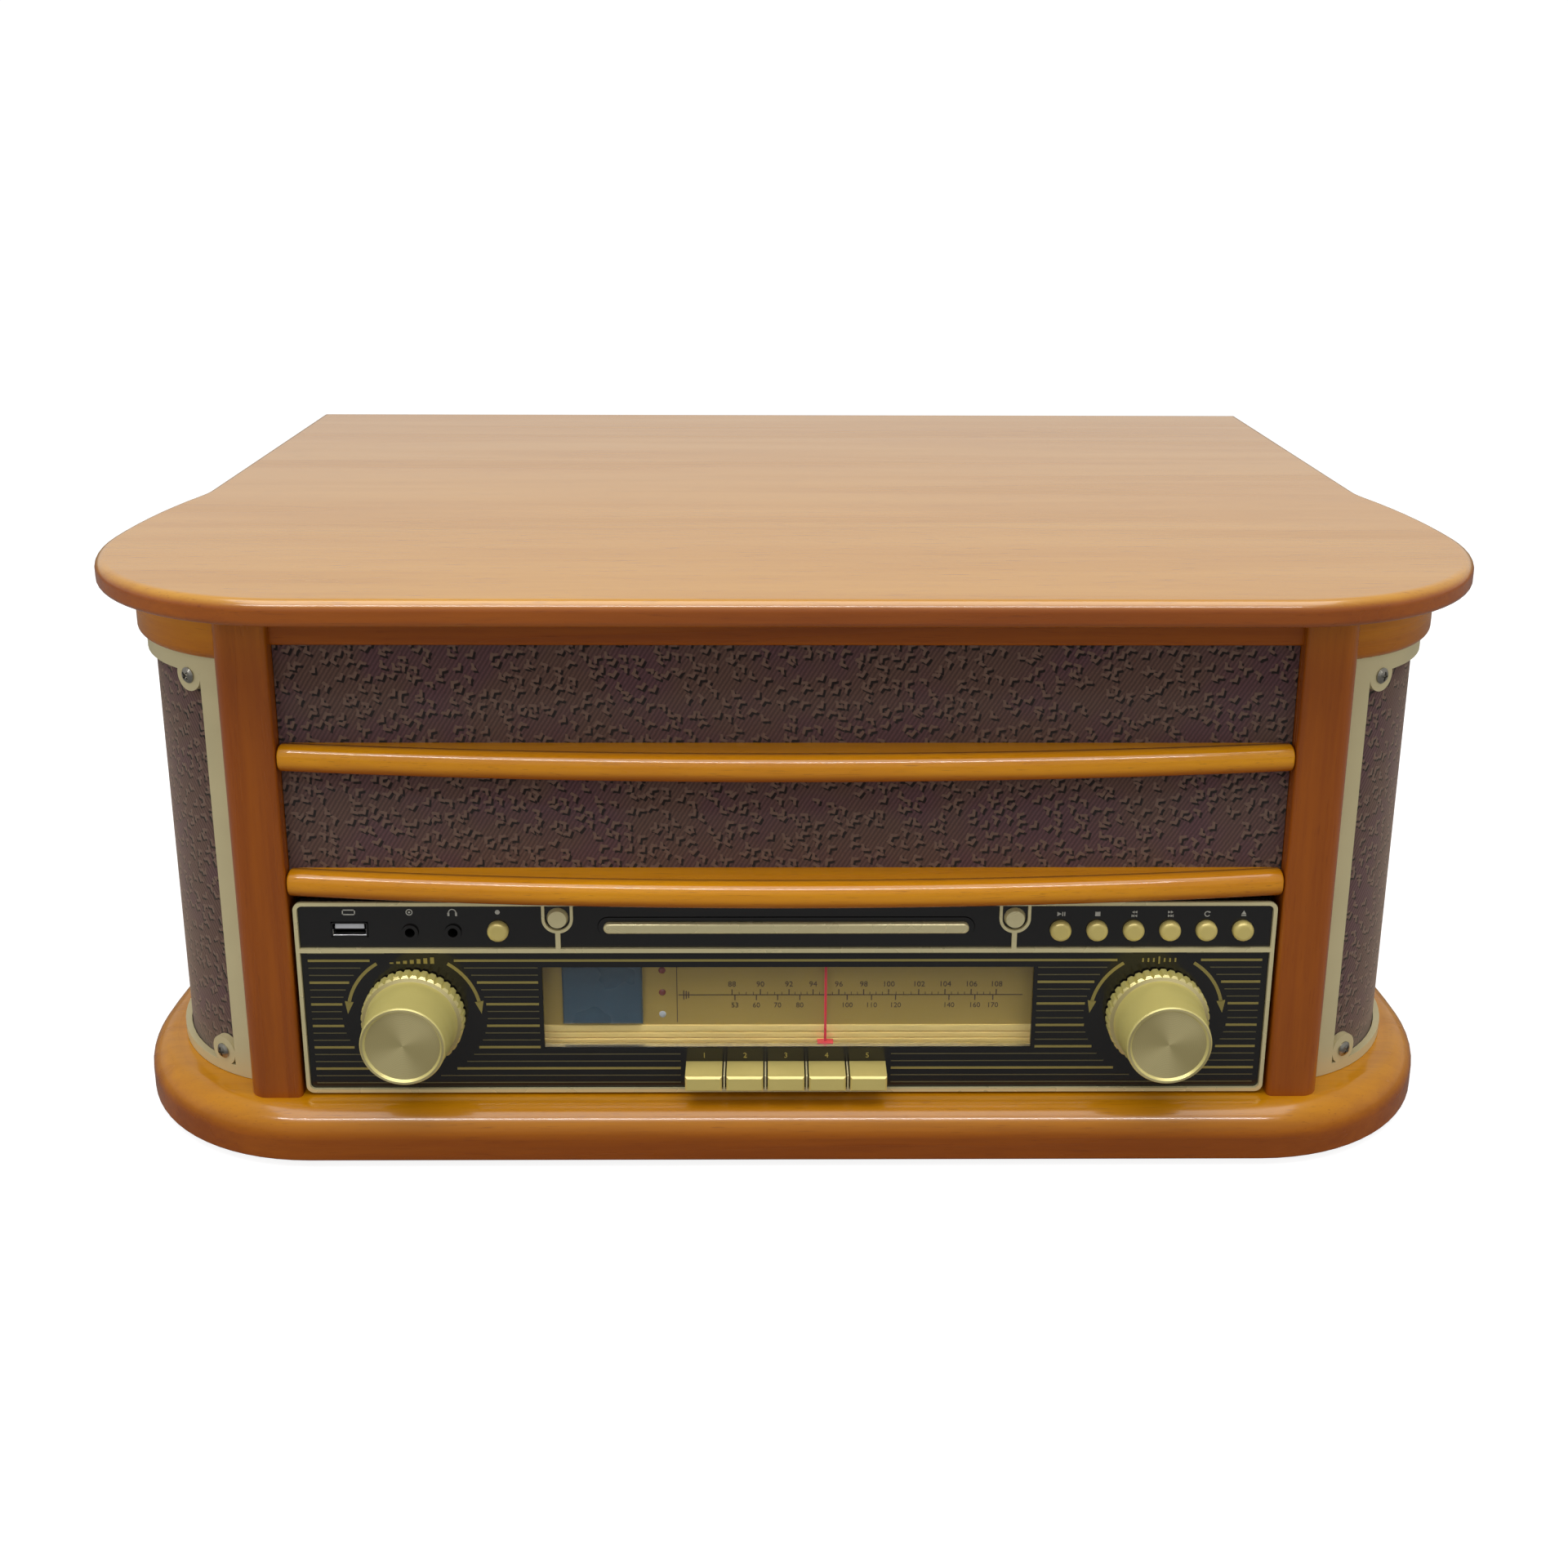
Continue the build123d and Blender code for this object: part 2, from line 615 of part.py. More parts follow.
with BuildPart() as fascia:
    with BuildSketch(front_plane(0)):
        with Locations(fascia_middle):
            RectangleRounded(FASCIA_WIDTH, FASCIA_HEIGHT, FASCIA_RADIUS)
    extrude(amount=-FASCIA_DEPTH)
    with BuildSketch(front_plane(FASCIA_WALL)):
        with Locations(fascia_middle):
            Rectangle(FASCIA_WIDTH - 4, FASCIA_HEIGHT - 4)
    extrude(amount=-FASCIA_DEPTH, mode=Mode.SUBTRACT)
    with BuildSketch(front_plane(0)):
        with Locations((window_x, window_z)):
            Rectangle(window_width, window_height)
        with Locations((-KNOB_X, up(KNOB_Z)), (KNOB_X, up(KNOB_Z))):
            Circle(SHAFT_RADIUS + LOOSE)
        with Locations(*[(x, up(BUTTON_Z)) for x in button_x.values()]):
            Circle(BUTTON_RADIUS + SLIDING)
        with Locations(*[(x, key_z) for x in key_x.values()]):
            Rectangle(KEY_WIDTH + 2 * SLIDING, KEY_HEIGHT + 2 * SLIDING)
        with Locations((0, up(STRIP_Z))):
            SlotOverall(DRAWER_WIDTH, DRAWER_HEIGHT)
        with Locations((USB_X, up(USB_Z))):
            Rectangle(USB_WIDTH + 2 * FIT, USB_HEIGHT + 2 * FIT)
        with Locations(*jack_spots):
            Circle(JACK_RADIUS + SLIDING)
    extrude(amount=-FASCIA_WALL, mode=Mode.SUBTRACT)
save(fascia, "fascia")

# Gold trim: border, divider bar, two stems with cups and the two round studs
with BuildPart() as fascia_trim:
    cup_arm = FASCIA_HEIGHT - TRIM_WIDTH - STUD_Z
    cup_inner = CUP_RADIUS - CUP_WIDTH
    stem_top = STUD_Z - CUP_RADIUS + CUP_WIDTH / 2
    with BuildSketch(front_plane(0)):
        with Locations((0, up(DIVIDER_HEIGHT + DIVIDER_WIDTH / 2))):
            Rectangle(FASCIA_WIDTH - TRIM_WIDTH, DIVIDER_WIDTH)
        for side in (-1, 1):
            with Locations((side * STEM_X, up((DIVIDER_HEIGHT + stem_top) / 2))):
                Rectangle(STEM_WIDTH, stem_top - DIVIDER_HEIGHT)
            with Locations((side * STEM_X, up(STUD_Z))):
                Circle(CUP_RADIUS)
            with Locations((side * STEM_X, up(STUD_Z + cup_arm / 2))):
                Rectangle(2 * CUP_RADIUS, cup_arm)
            with Locations((side * STEM_X, up(STUD_Z))):
                Circle(cup_inner, mode=Mode.SUBTRACT)
            with Locations((side * STEM_X, up(STUD_Z + CUP_RADIUS))):
                Rectangle(2 * cup_inner, 2 * CUP_RADIUS, mode=Mode.SUBTRACT)
            with Locations((side * STEM_X, fascia_top - TRIM_WIDTH / 2 + CUP_RADIUS)):
                Rectangle(3 * CUP_RADIUS, 2 * CUP_RADIUS, mode=Mode.SUBTRACT)
    extrude(amount=TRIM_RISE)
    with BuildSketch(front_plane(0)):
        with Locations(fascia_middle):
            RectangleRounded(FASCIA_WIDTH, FASCIA_HEIGHT, FASCIA_RADIUS)
            RectangleRounded(FASCIA_WIDTH - 2 * TRIM_WIDTH, FASCIA_HEIGHT - 2 * TRIM_WIDTH,
                             FASCIA_RADIUS - 1, mode=Mode.SUBTRACT)
    extrude(amount=TRIM_RISE)
    for side in (-1, 1):
        with BuildSketch(front_plane(0)):
            with Locations((side * STEM_X, up(STUD_Z))):
                Circle(STUD_RADIUS)
        extrude(amount=STUD_RISE, taper=20)
save(fascia_trim, "fascia_trim")

# Clear dial window, set into the fascia
with BuildPart() as dial_window:
    with BuildSketch(front_plane(0.4)):
        with Locations((window_x, window_z)):
            Rectangle(window_width - 2 * FIT, window_height - 2 * FIT)
    extrude(amount=-WINDOW_GLASS)
save(dial_window, "dial_window")

# Dial plate, a shallow box behind the window with the rail that the pointer runs on
dial_left = WINDOW_LEFT - 5
dial_right = WINDOW_RIGHT + 5
dial_floor = KEY_BOTTOM + KEY_HEIGHT + 0.4
dial_roof = DIVIDER_HEIGHT - 4
rail_depth = 6.5
rail_z = up(dial_floor + DIAL_WALL + 1.9)
dial_face_y = FASCIA_Y + DIAL_RECESS
with BuildPart() as dial_plate:
    block((dial_left, dial_right), (FASCIA_Y + FASCIA_WALL, dial_face_y + DIAL_WALL),
          (up(dial_floor), up(dial_roof)))
    block((dial_left + DIAL_WALL, dial_right - DIAL_WALL), (FASCIA_Y + FASCIA_WALL, dial_face_y),
          (up(dial_floor) + DIAL_WALL, up(dial_roof) - DIAL_WALL), mode=Mode.SUBTRACT)
    with BuildSketch(Plane.YZ.offset(dial_left)):
        with Locations((FASCIA_Y + rail_depth, rail_z)):
            Circle(RAIL_RADIUS)
    extrude(amount=dial_right - dial_left)
save(dial_plate, "dial_plate")

# Display at the left of the dial plate
with BuildPart() as display:
    block((DISPLAY_LEFT, DISPLAY_LEFT + DISPLAY_WIDTH), (dial_face_y - 2.5, dial_face_y),
          (up(DISPLAY_BOTTOM), up(DISPLAY_BOTTOM + DISPLAY_HEIGHT)))
    chamfer(display.faces().sort_by(Axis.Y)[0].edges(), length=0.5)
save(display, "display")

# Dial pointer, a thin blade on a foot that slides along the rail
foot_half = 1.6
with BuildPart() as dial_pointer:
    block((POINTER_X - 3, POINTER_X + 3), (FASCIA_Y + rail_depth - 1.6, FASCIA_Y + rail_depth + 1.6),
          (rail_z - foot_half, rail_z + foot_half))
    block((POINTER_X - POINTER_WIDTH / 2, POINTER_X + POINTER_WIDTH / 2),
          (FASCIA_Y + rail_depth - 0.3, FASCIA_Y + rail_depth + 0.3),
          (rail_z + foot_half, up(WINDOW_TOP) - 1))
    with BuildSketch(Plane.YZ.offset(POINTER_X - 4)):
        with Locations((FASCIA_Y + rail_depth, rail_z)):
            Circle(RAIL_RADIUS + RUNNING)
    extrude(amount=8, mode=Mode.SUBTRACT)
save(dial_pointer, "dial_pointer")

# USB socket and the two headphone-size jacks
with BuildPart() as front_sockets:
    with BuildSketch(front_plane(-0.3)):
        with Locations((USB_X, up(USB_Z))):
            RectangleRounded(USB_WIDTH, USB_HEIGHT, 0.8)
            RectangleRounded(USB_WIDTH - 1, USB_HEIGHT - 1, 0.4, mode=Mode.SUBTRACT)
    extrude(amount=-BOARD_DEPTH - 0.3)
    block((USB_X - USB_WIDTH / 2 + 0.4, USB_X + USB_WIDTH / 2 - 0.4), (board_y - 3, board_y),
          (up(USB_Z) - USB_HEIGHT / 2 + 0.4, up(USB_Z) + USB_HEIGHT / 2 - 0.4))
    block((USB_X - 5.5, USB_X + 5.5), (FASCIA_Y + 0.6, board_y - 2),
          (up(USB_Z) - 0.2, up(USB_Z) + 1.6))
    for x, z in jack_spots:
        with BuildSketch(front_plane(-0.9)):
            with Locations((x, z)):
                Circle(JACK_RADIUS)
        extrude(amount=-BOARD_DEPTH + 2)
        block((x - 4.5, x + 4.5), (FASCIA_Y + FASCIA_WALL, board_y), (z - 4.5, z + 4.5))
        with BuildSketch(front_plane(-0.9)):
            with Locations((x, z)):
                Circle(JACK_BORE)
        extrude(amount=-JACK_DEPTH, mode=Mode.SUBTRACT)
save(front_sockets, "front_sockets")

# Knobs: a knurled ring, a smooth tapered body, a bright rim round a sunk face, and the shaft
for name, side in (("volume_knob", -1), ("tuning_knob", 1)):
    knob_x = side * KNOB_X
    ring_front = -KNOB_GAP - KNOB_RING_DEPTH
    with BuildPart() as knob:
        with BuildSketch(Plane(origin=(knob_x, FASCIA_Y, up(KNOB_Z)), x_dir=(1, 0, 0),
                               z_dir=(0, 0, 1))):
            with BuildLine():
                Polyline((0, -KNOB_REACH + 0.8), (KNOB_FACE_RADIUS - 1.9, -KNOB_REACH + 0.8),
                         (KNOB_FACE_RADIUS - 1.2, -KNOB_REACH), (KNOB_FACE_RADIUS - 0.4, -KNOB_REACH),
                         (KNOB_FACE_RADIUS, -KNOB_REACH + 0.5), (KNOB_BODY_RADIUS, ring_front - 0.6),
                         (KNOB_RING_RADIUS - 0.7, ring_front), (KNOB_RING_RADIUS, ring_front + 0.7),
                         (KNOB_RING_RADIUS, -KNOB_GAP), (SHAFT_RADIUS, -KNOB_GAP),
                         (SHAFT_RADIUS, SHAFT_REACH), (0, SHAFT_REACH), close=True)
            make_face()
        revolve(axis=Axis((knob_x, FASCIA_Y, up(KNOB_Z)), (0, 1, 0)))
        with BuildSketch(front_plane(-KNOB_GAP + 1)):
            with Locations((knob_x, up(KNOB_Z))):
                with PolarLocations(KNOB_RING_RADIUS + 0.2, KNOB_TEETH):
                    Rectangle(1.5, 1.5, rotation=45)
        extrude(amount=KNOB_RING_DEPTH + 2, mode=Mode.SUBTRACT)
    save(knob, name)

# Round buttons: a domed cap through the fascia, a flange behind it and a stem
for name, x in button_x.items():
    with BuildPart() as button:
        with BuildSketch(front_plane(FASCIA_WALL)):
            with Locations((x, up(BUTTON_Z))):
                Circle(BUTTON_RADIUS)
        extrude(amount=FASCIA_WALL + BUTTON_RISE)
        fillet(button.edges().group_by(Axis.Y)[0], radius=1.7)
        with BuildSketch(front_plane(FASCIA_WALL)):
            with Locations((x, up(BUTTON_Z))):
                Circle(BUTTON_RADIUS + 1.1)
        extrude(amount=-1)
        with BuildSketch(front_plane(FASCIA_WALL)):
            with Locations((x, up(BUTTON_Z))):
                Circle(2.0)
        extrude(amount=-(SWITCH_DEPTH - FASCIA_WALL - BUTTON_TRAVEL - 0.2))
    save(button, name)

# Piano keys: a square cap in front of the fascia and a stem into the switch bank
for name, x in key_x.items():
    with BuildPart() as key:
        block((x - KEY_WIDTH / 2, x + KEY_WIDTH / 2), (FASCIA_Y - KEY_REACH, FASCIA_Y + FASCIA_WALL - 0.2),
              (key_z - KEY_HEIGHT / 2, key_z + KEY_HEIGHT / 2))
        front_rim = key.faces().sort_by(Axis.Y)[0].edges()
        chamfer(front_rim, length=0.7)
        block((x - 4, x + 4), (FASCIA_Y + FASCIA_WALL - 0.2, FASCIA_Y + BANK_DEPTH + 2),
              (key_z - 1.75, key_z + 1.75))
    save(key, name)

# Switch bank behind the keys, with a slot for each stem
with BuildPart() as switch_bank:
    block((-BANK_WIDTH / 2, BANK_WIDTH / 2), (FASCIA_Y + BANK_DEPTH, FASCIA_Y + BANK_DEPTH + 18),
          (base_top, up(KEY_BOTTOM + KEY_HEIGHT + 0.2)))
    for x in key_x.values():
        block((x - 4.2, x + 4.2), (FASCIA_Y + BANK_DEPTH, FASCIA_Y + BANK_DEPTH + 2 + KEY_TRAVEL + 0.6),
              (key_z - 1.95, key_z + 1.95), mode=Mode.SUBTRACT)
save(switch_bank, "switch_bank")

# Circuit boards: one behind each end of the fascia, and the main board on the base
board_back = board_y + BOARD_THICKNESS
board_reach = FASCIA_WIDTH / 2 - 6
board_inner = dial_right + FIT
with BuildPart() as circuit_boards:
    for side in (-1, 1):
        span = sorted((side * board_inner, side * board_reach))
        block(tuple(span), (board_y, board_back), (up(6), up(75)))
        with BuildSketch(front_plane(BOARD_DEPTH)):
            with Locations((side * (board_reach - 6), up(12)), (side * (board_inner + 4), up(48))):
                Circle(2.5)
        extrude(amount=BOARD_DEPTH - FASCIA_WALL)
        with BuildSketch(front_plane(BOARD_DEPTH)):
            with Locations((side * KNOB_X, up(KNOB_Z))):
                Circle(12)
        extrude(amount=BOARD_DEPTH - FASCIA_WALL - 3)
        with BuildSketch(front_plane(0)):
            with Locations((side * KNOB_X, up(KNOB_Z))):
                Circle(SHAFT_RADIUS + RUNNING)
        extrude(amount=-SHAFT_REACH - 0.5, mode=Mode.SUBTRACT)
    for x in button_x.values():
        block((x - 3, x + 3), (FASCIA_Y + SWITCH_DEPTH, board_y), (up(BUTTON_Z) - 3, up(BUTTON_Z) + 3))
    board_z = base_top + 6
    block((-10, 150), (0, 120), (board_z, board_z + BOARD_THICKNESS))
    with BuildSketch(Plane.XY.offset(base_top)):
        with Locations((70, 60)):
            with GridLocations(148, 108, 2, 2):
                Circle(3)
    extrude(amount=board_z - base_top)
    block((20, 60), (100, 112), (board_z + BOARD_THICKNESS, board_z + 24))
    with BuildSketch(Plane.XY.offset(board_z + BOARD_THICKNESS)):
        with Locations((100, 100), (125, 100)):
            Circle(8)
    extrude(amount=25)
save(circuit_boards, "circuit_boards")

# Transformer on the base board
with BuildPart() as transformer:
    block((-165, -105), (70, 115), (base_top, base_top + 3))
    block((-160, -110), (74, 111), (base_top + 3, base_top + 42))
    block((-148, -122), (66, 119), (base_top + 9, base_top + 36))
save(transformer, "transformer")

# Disc mechanism, a housing on four legs that the tray slides in
mech_x = TRAY_WIDTH / 2 + 11
mech_front = FASCIA_Y + FASCIA_DEPTH + 0.4
mech_back = FASCIA_Y + TRAY_DEPTH + 8
tray_bottom = up(STRIP_Z) - TRAY_THICKNESS / 2
with BuildPart() as disc_mechanism:
    block((-mech_x, mech_x), (mech_front, mech_back), (tray_bottom - 5, tray_bottom + 15))
    block((-TRAY_WIDTH / 2 - LOOSE, TRAY_WIDTH / 2 + LOOSE), (mech_front, mech_back - 3),
          (tray_bottom - LOOSE, tray_bottom + 11), mode=Mode.SUBTRACT)
    for x in (-mech_x + 3, mech_x - 3):
        for y in (mech_front + 6, mech_back - 3):
            block((x - 3, x + 3), (y - 3, y + 3), (base_top, tray_bottom - 5))
save(disc_mechanism, "disc_mechanism")

# Disc drawer: the tray with its disc recess, behind a pill-shaped front
tray_y = FASCIA_Y + 2 + TRAY_DEPTH / 2
with BuildPart() as disc_drawer:
    with BuildSketch(front_plane(2)):
        with Locations((0, up(STRIP_Z))):
            SlotOverall(DRAWER_WIDTH - 2 * FIT, DRAWER_HEIGHT - 2 * FIT)
    extrude(amount=2.4)
    block((-TRAY_WIDTH / 2, TRAY_WIDTH / 2), (FASCIA_Y + 2, FASCIA_Y + 2 + TRAY_DEPTH),
          (tray_bottom, tray_bottom + TRAY_THICKNESS))
    with BuildSketch(Plane.XY.offset(tray_bottom + TRAY_THICKNESS)):
        with Locations((0, tray_y)):
            Circle(DISC_RECESS_RADIUS)
    extrude(amount=-3.5, mode=Mode.SUBTRACT)
    with BuildSketch(Plane.XY.offset(tray_bottom)):
        with Locations((0, tray_y)):
            Circle(17)
        with Locations((0, tray_y + 30)):
            SlotOverall(60, 34, rotation=90)
    extrude(amount=TRAY_THICKNESS, mode=Mode.SUBTRACT)
save(disc_drawer, "disc_drawer")

# Gold bar on the drawer front
with BuildPart() as drawer_bar:
    with BuildSketch(front_plane(-0.4)):
        with Locations((0, up(STRIP_Z))):
            SlotOverall(DRAWER_BAR_WIDTH, DRAWER_BAR_HEIGHT)
    extrude(amount=1.8)
    fillet(drawer_bar.edges().group_by(Axis.Y)[0], radius=1.0)
save(drawer_bar, "drawer_bar")

# Deck plate: the floor of the well, with the arm rest standing on it
pulley_x = PLATTER_X + PULLEY_DISTANCE * math.cos(math.radians(PULLEY_ANGLE))
pulley_y = PLATTER_Y + PULLEY_DISTANCE * math.sin(math.radians(PULLEY_ANGLE))
arm_z = deck_top + ARM_HEIGHT
rest_y = ARM_Y - REST_DISTANCE
lift_angle = math.radians(LIFT_SPAN / 2)
lift_x = ARM_X - LIFT_DISTANCE * math.sin(lift_angle)
lift_y = ARM_Y - LIFT_DISTANCE * math.cos(lift_angle)
clip_x = ARM_X + ARM_TUBE_RADIUS + 3.3
clip_z = arm_z + 1.5
back_inner = CASE_BACK - BACK_THICKNESS
with BuildPart() as deck_plate:
    with BuildSketch(Plane.XY.offset(deck_bottom)):
        add(plan_face(CASE_CORNER, back_inner - FIT, -SIDE_WALL - FIT))
        deck_middle = (pillar_back + LOOSE + back_inner) / 2
        with Locations((0, deck_middle)):
            Rectangle(600, back_inner - pillar_back - LOOSE, mode=Mode.INTERSECT)
        with Locations((0, grille_back + FIT + 20)):
            Rectangle(2 * pillar_inner - 2 * LOOSE, 40)
        with Locations((PLATTER_X, PLATTER_Y)):
            Circle(BEARING_RADIUS + 1 + FIT, mode=Mode.SUBTRACT)
        with Locations((pulley_x, pulley_y)):
            Circle(PULLEY_RADIUS + 2.5, mode=Mode.SUBTRACT)
        with Locations((SELECTOR_X, SELECTOR_Y + SELECTOR_TRAVEL / 2)):
            Rectangle(SELECTOR_SLOT, SELECTOR_TRAVEL + SELECTOR_SLOT + 2 * FIT, mode=Mode.SUBTRACT)
    extrude(amount=DECK_THICKNESS)
    block((ARM_X - 7, clip_x + 3), (rest_y - 4, rest_y + 4),
          (deck_top, arm_z - ARM_TUBE_RADIUS - LOOSE))
    block((ARM_X + ARM_TUBE_RADIUS + LOOSE, clip_x + 3), (rest_y - 4, rest_y + 4),
          (deck_top, clip_z + 2.5))
    block((ARM_X, clip_x + 4), (rest_y - 2.2, rest_y + 2.2), (clip_z - 2.6, clip_z + 3),
          mode=Mode.SUBTRACT)
    with BuildSketch(Plane.XZ.offset(-(rest_y + 4))):
        with Locations((clip_x, clip_z)):
            Circle(CLIP_PIN_RADIUS)
    extrude(amount=8)
save(deck_plate, "deck_plate")

# Rest clip, modelled closed over the tube and then swung open on its pin
with BuildPart() as rest_clip:
    with BuildSketch(Plane.XZ.offset(-(rest_y + 2))):
        bar_bottom = arm_z + ARM_TUBE_RADIUS + CLIP_GAP
        with Locations((clip_x, clip_z)):
            Circle(CLIP_PIN_RADIUS + 1.1)
        with Locations((clip_x, (clip_z + bar_bottom + 1.5) / 2)):
            Rectangle(1.6, bar_bottom + 1.5 - clip_z)
        hook_x = ARM_X - ARM_TUBE_RADIUS - CLIP_GAP
        with Locations(((hook_x - 1.2 + clip_x + 0.8) / 2, bar_bottom + 0.75)):
            Rectangle(clip_x + 0.8 - hook_x + 1.2, 1.5)
        with Locations((hook_x - 0.6, bar_bottom - 1)):
            Rectangle(1.2, 5)
        with Locations((clip_x, clip_z)):
            Circle(CLIP_PIN_RADIUS + RUNNING, mode=Mode.SUBTRACT)
    extrude(amount=4)
rest_clip.part = rest_clip.part.rotate(Axis((clip_x, rest_y, clip_z), (0, 1, 0)), CLIP_SWING)
save(rest_clip, "rest_clip")

# Spindle: a fixed pin with a flange on the deck and a boss below it
platter_bottom = deck_top + PLATTER_LIFT
platter_top = platter_bottom + PLATTER_HEIGHT
mat_top = platter_top + MAT_THICKNESS
spindle_top = mat_top + SPINDLE_RISE
pin_bottom = mat_top + BEARING_RISE
platter_axis = Axis((PLATTER_X, PLATTER_Y, 0), (0, 0, 1))


def turned_plane(x, y):
    """A plane through a vertical axis: its x is the radius and its y is the height."""
    return Plane(origin=(x, y, 0), x_dir=(1, 0, 0), z_dir=(0, -1, 0))


with BuildPart() as spindle:
    with BuildSketch(turned_plane(PLATTER_X, PLATTER_Y)):
        with BuildLine():
            Polyline((0, deck_bottom - 8), (BEARING_RADIUS + 1, deck_bottom - 8),
                     (BEARING_RADIUS + 1, deck_top), (HUB_RADIUS - 2, deck_top),
                     (HUB_RADIUS - 2, platter_bottom - LOOSE), (BEARING_RADIUS, platter_bottom - LOOSE),
                     (BEARING_RADIUS, pin_bottom - BEARING_RADIUS + SPINDLE_RADIUS),
                     (SPINDLE_RADIUS, pin_bottom), (SPINDLE_RADIUS, spindle_top - 2),
                     (SPINDLE_RADIUS - 1.4, spindle_top), (0, spindle_top), close=True)
        make_face()
    revolve(axis=platter_axis)
save(spindle, "spindle")

# Platter: a top plate, an outer rim, a drum for the belt and a hub
plate_bottom = platter_top - PLATTER_RIM
with BuildPart() as platter:
    with BuildSketch(turned_plane(PLATTER_X, PLATTER_Y)):
        with BuildLine():
            Polyline((BEARING_RADIUS + RUNNING, platter_bottom), (HUB_RADIUS, platter_bottom),
                     (HUB_RADIUS, plate_bottom), (DRUM_RADIUS - 3, plate_bottom),
                     (DRUM_RADIUS - 3, platter_bottom + 0.5), (DRUM_RADIUS, platter_bottom + 0.5),
                     (DRUM_RADIUS, plate_bottom), (PLATTER_RADIUS - PLATTER_RIM, plate_bottom),
                     (PLATTER_RADIUS - PLATTER_RIM, platter_bottom + 1),
                     (PLATTER_RADIUS, platter_bottom + 1), (PLATTER_RADIUS, platter_top - 1),
                     (PLATTER_RADIUS - 1, platter_top), (BEARING_RADIUS + RUNNING, platter_top),
                     close=True)
        make_face()
    revolve(axis=platter_axis)
save(platter, "platter")

# Rubber mat with shallow ring grooves
mat_radius = PLATTER_RADIUS - MAT_INSET
groove_pitch = (mat_radius - MAT_GROOVE_EDGE - MAT_GROOVE_START) / (MAT_GROOVES - 1)
with BuildPart() as platter_mat:
    with BuildSketch(Plane.XY.offset(platter_top)):
        with Locations((PLATTER_X, PLATTER_Y)):
            Circle(mat_radius)
            Circle(BEARING_RADIUS + LOOSE, mode=Mode.SUBTRACT)
    extrude(amount=MAT_THICKNESS)
    with BuildSketch(Plane.XY.offset(mat_top)):
        with Locations((PLATTER_X, PLATTER_Y)):
            for index in range(MAT_GROOVES):
                radius = MAT_GROOVE_START + index * groove_pitch
                Circle(radius + MAT_GROOVE_WIDTH)
                Circle(radius, mode=Mode.SUBTRACT)
    extrude(amount=-MAT_GROOVE_DEPTH, mode=Mode.SUBTRACT)
save(platter_mat, "platter_mat")

# Motor under the deck, its shaft, and the grooved pulley on the shaft
belt_bottom = platter_bottom + 2
pulley_axis = Axis((pulley_x, pulley_y, 0), (0, 0, 1))
with BuildPart() as motor:
    with BuildSketch(turned_plane(pulley_x, pulley_y)):
        with BuildLine():
            Polyline((0, deck_bottom - 24), (16, deck_bottom - 24), (17, deck_bottom - 23),
                     (17, deck_bottom), (4, deck_bottom), (4, deck_bottom + 1.5), (1, deck_bottom + 1.5),
                     (1, belt_bottom + BELT_HEIGHT + 1), (0, belt_bottom + BELT_HEIGHT + 1), close=True)
        make_face()
    revolve(axis=pulley_axis)
save(motor, "motor")

with BuildPart() as motor_pulley:
    with BuildSketch(turned_plane(pulley_x, pulley_y)):
        with BuildLine():
            Polyline((1 + RUNNING, belt_bottom - 1.5), (PULLEY_RADIUS + 1.2, belt_bottom - 1.5),
                     (PULLEY_RADIUS + 1.2, belt_bottom - 0.5), (PULLEY_RADIUS, belt_bottom - 0.5),
                     (PULLEY_RADIUS, belt_bottom + BELT_HEIGHT + 0.5),
                     (PULLEY_RADIUS + 0.8, belt_bottom + BELT_HEIGHT + 0.5),
                     (PULLEY_RADIUS + 0.8, belt_bottom + BELT_HEIGHT + 1.3),
                     (1 + RUNNING, belt_bottom + BELT_HEIGHT + 1.3), close=True)
        make_face()
    revolve(axis=pulley_axis)
save(motor_pulley, "motor_pulley")


def belt_loop(gap):
    """The area inside a loop round the drum and the pulley, gap away from both."""
    with BuildSketch(Plane.XY) as loop:
        with Locations((PLATTER_X, PLATTER_Y)):
            Circle(DRUM_RADIUS + gap)
        with Locations((pulley_x, pulley_y)):
            Circle(PULLEY_RADIUS + gap)
        make_hull()
    return loop.sketch


with BuildPart() as drive_belt:
    with BuildSketch(Plane.XY.offset(belt_bottom)):
        add(belt_loop(LOOSE + BELT_THICKNESS))
        add(belt_loop(LOOSE), mode=Mode.SUBTRACT)
    extrude(amount=BELT_HEIGHT)
save(drive_belt, "drive_belt")

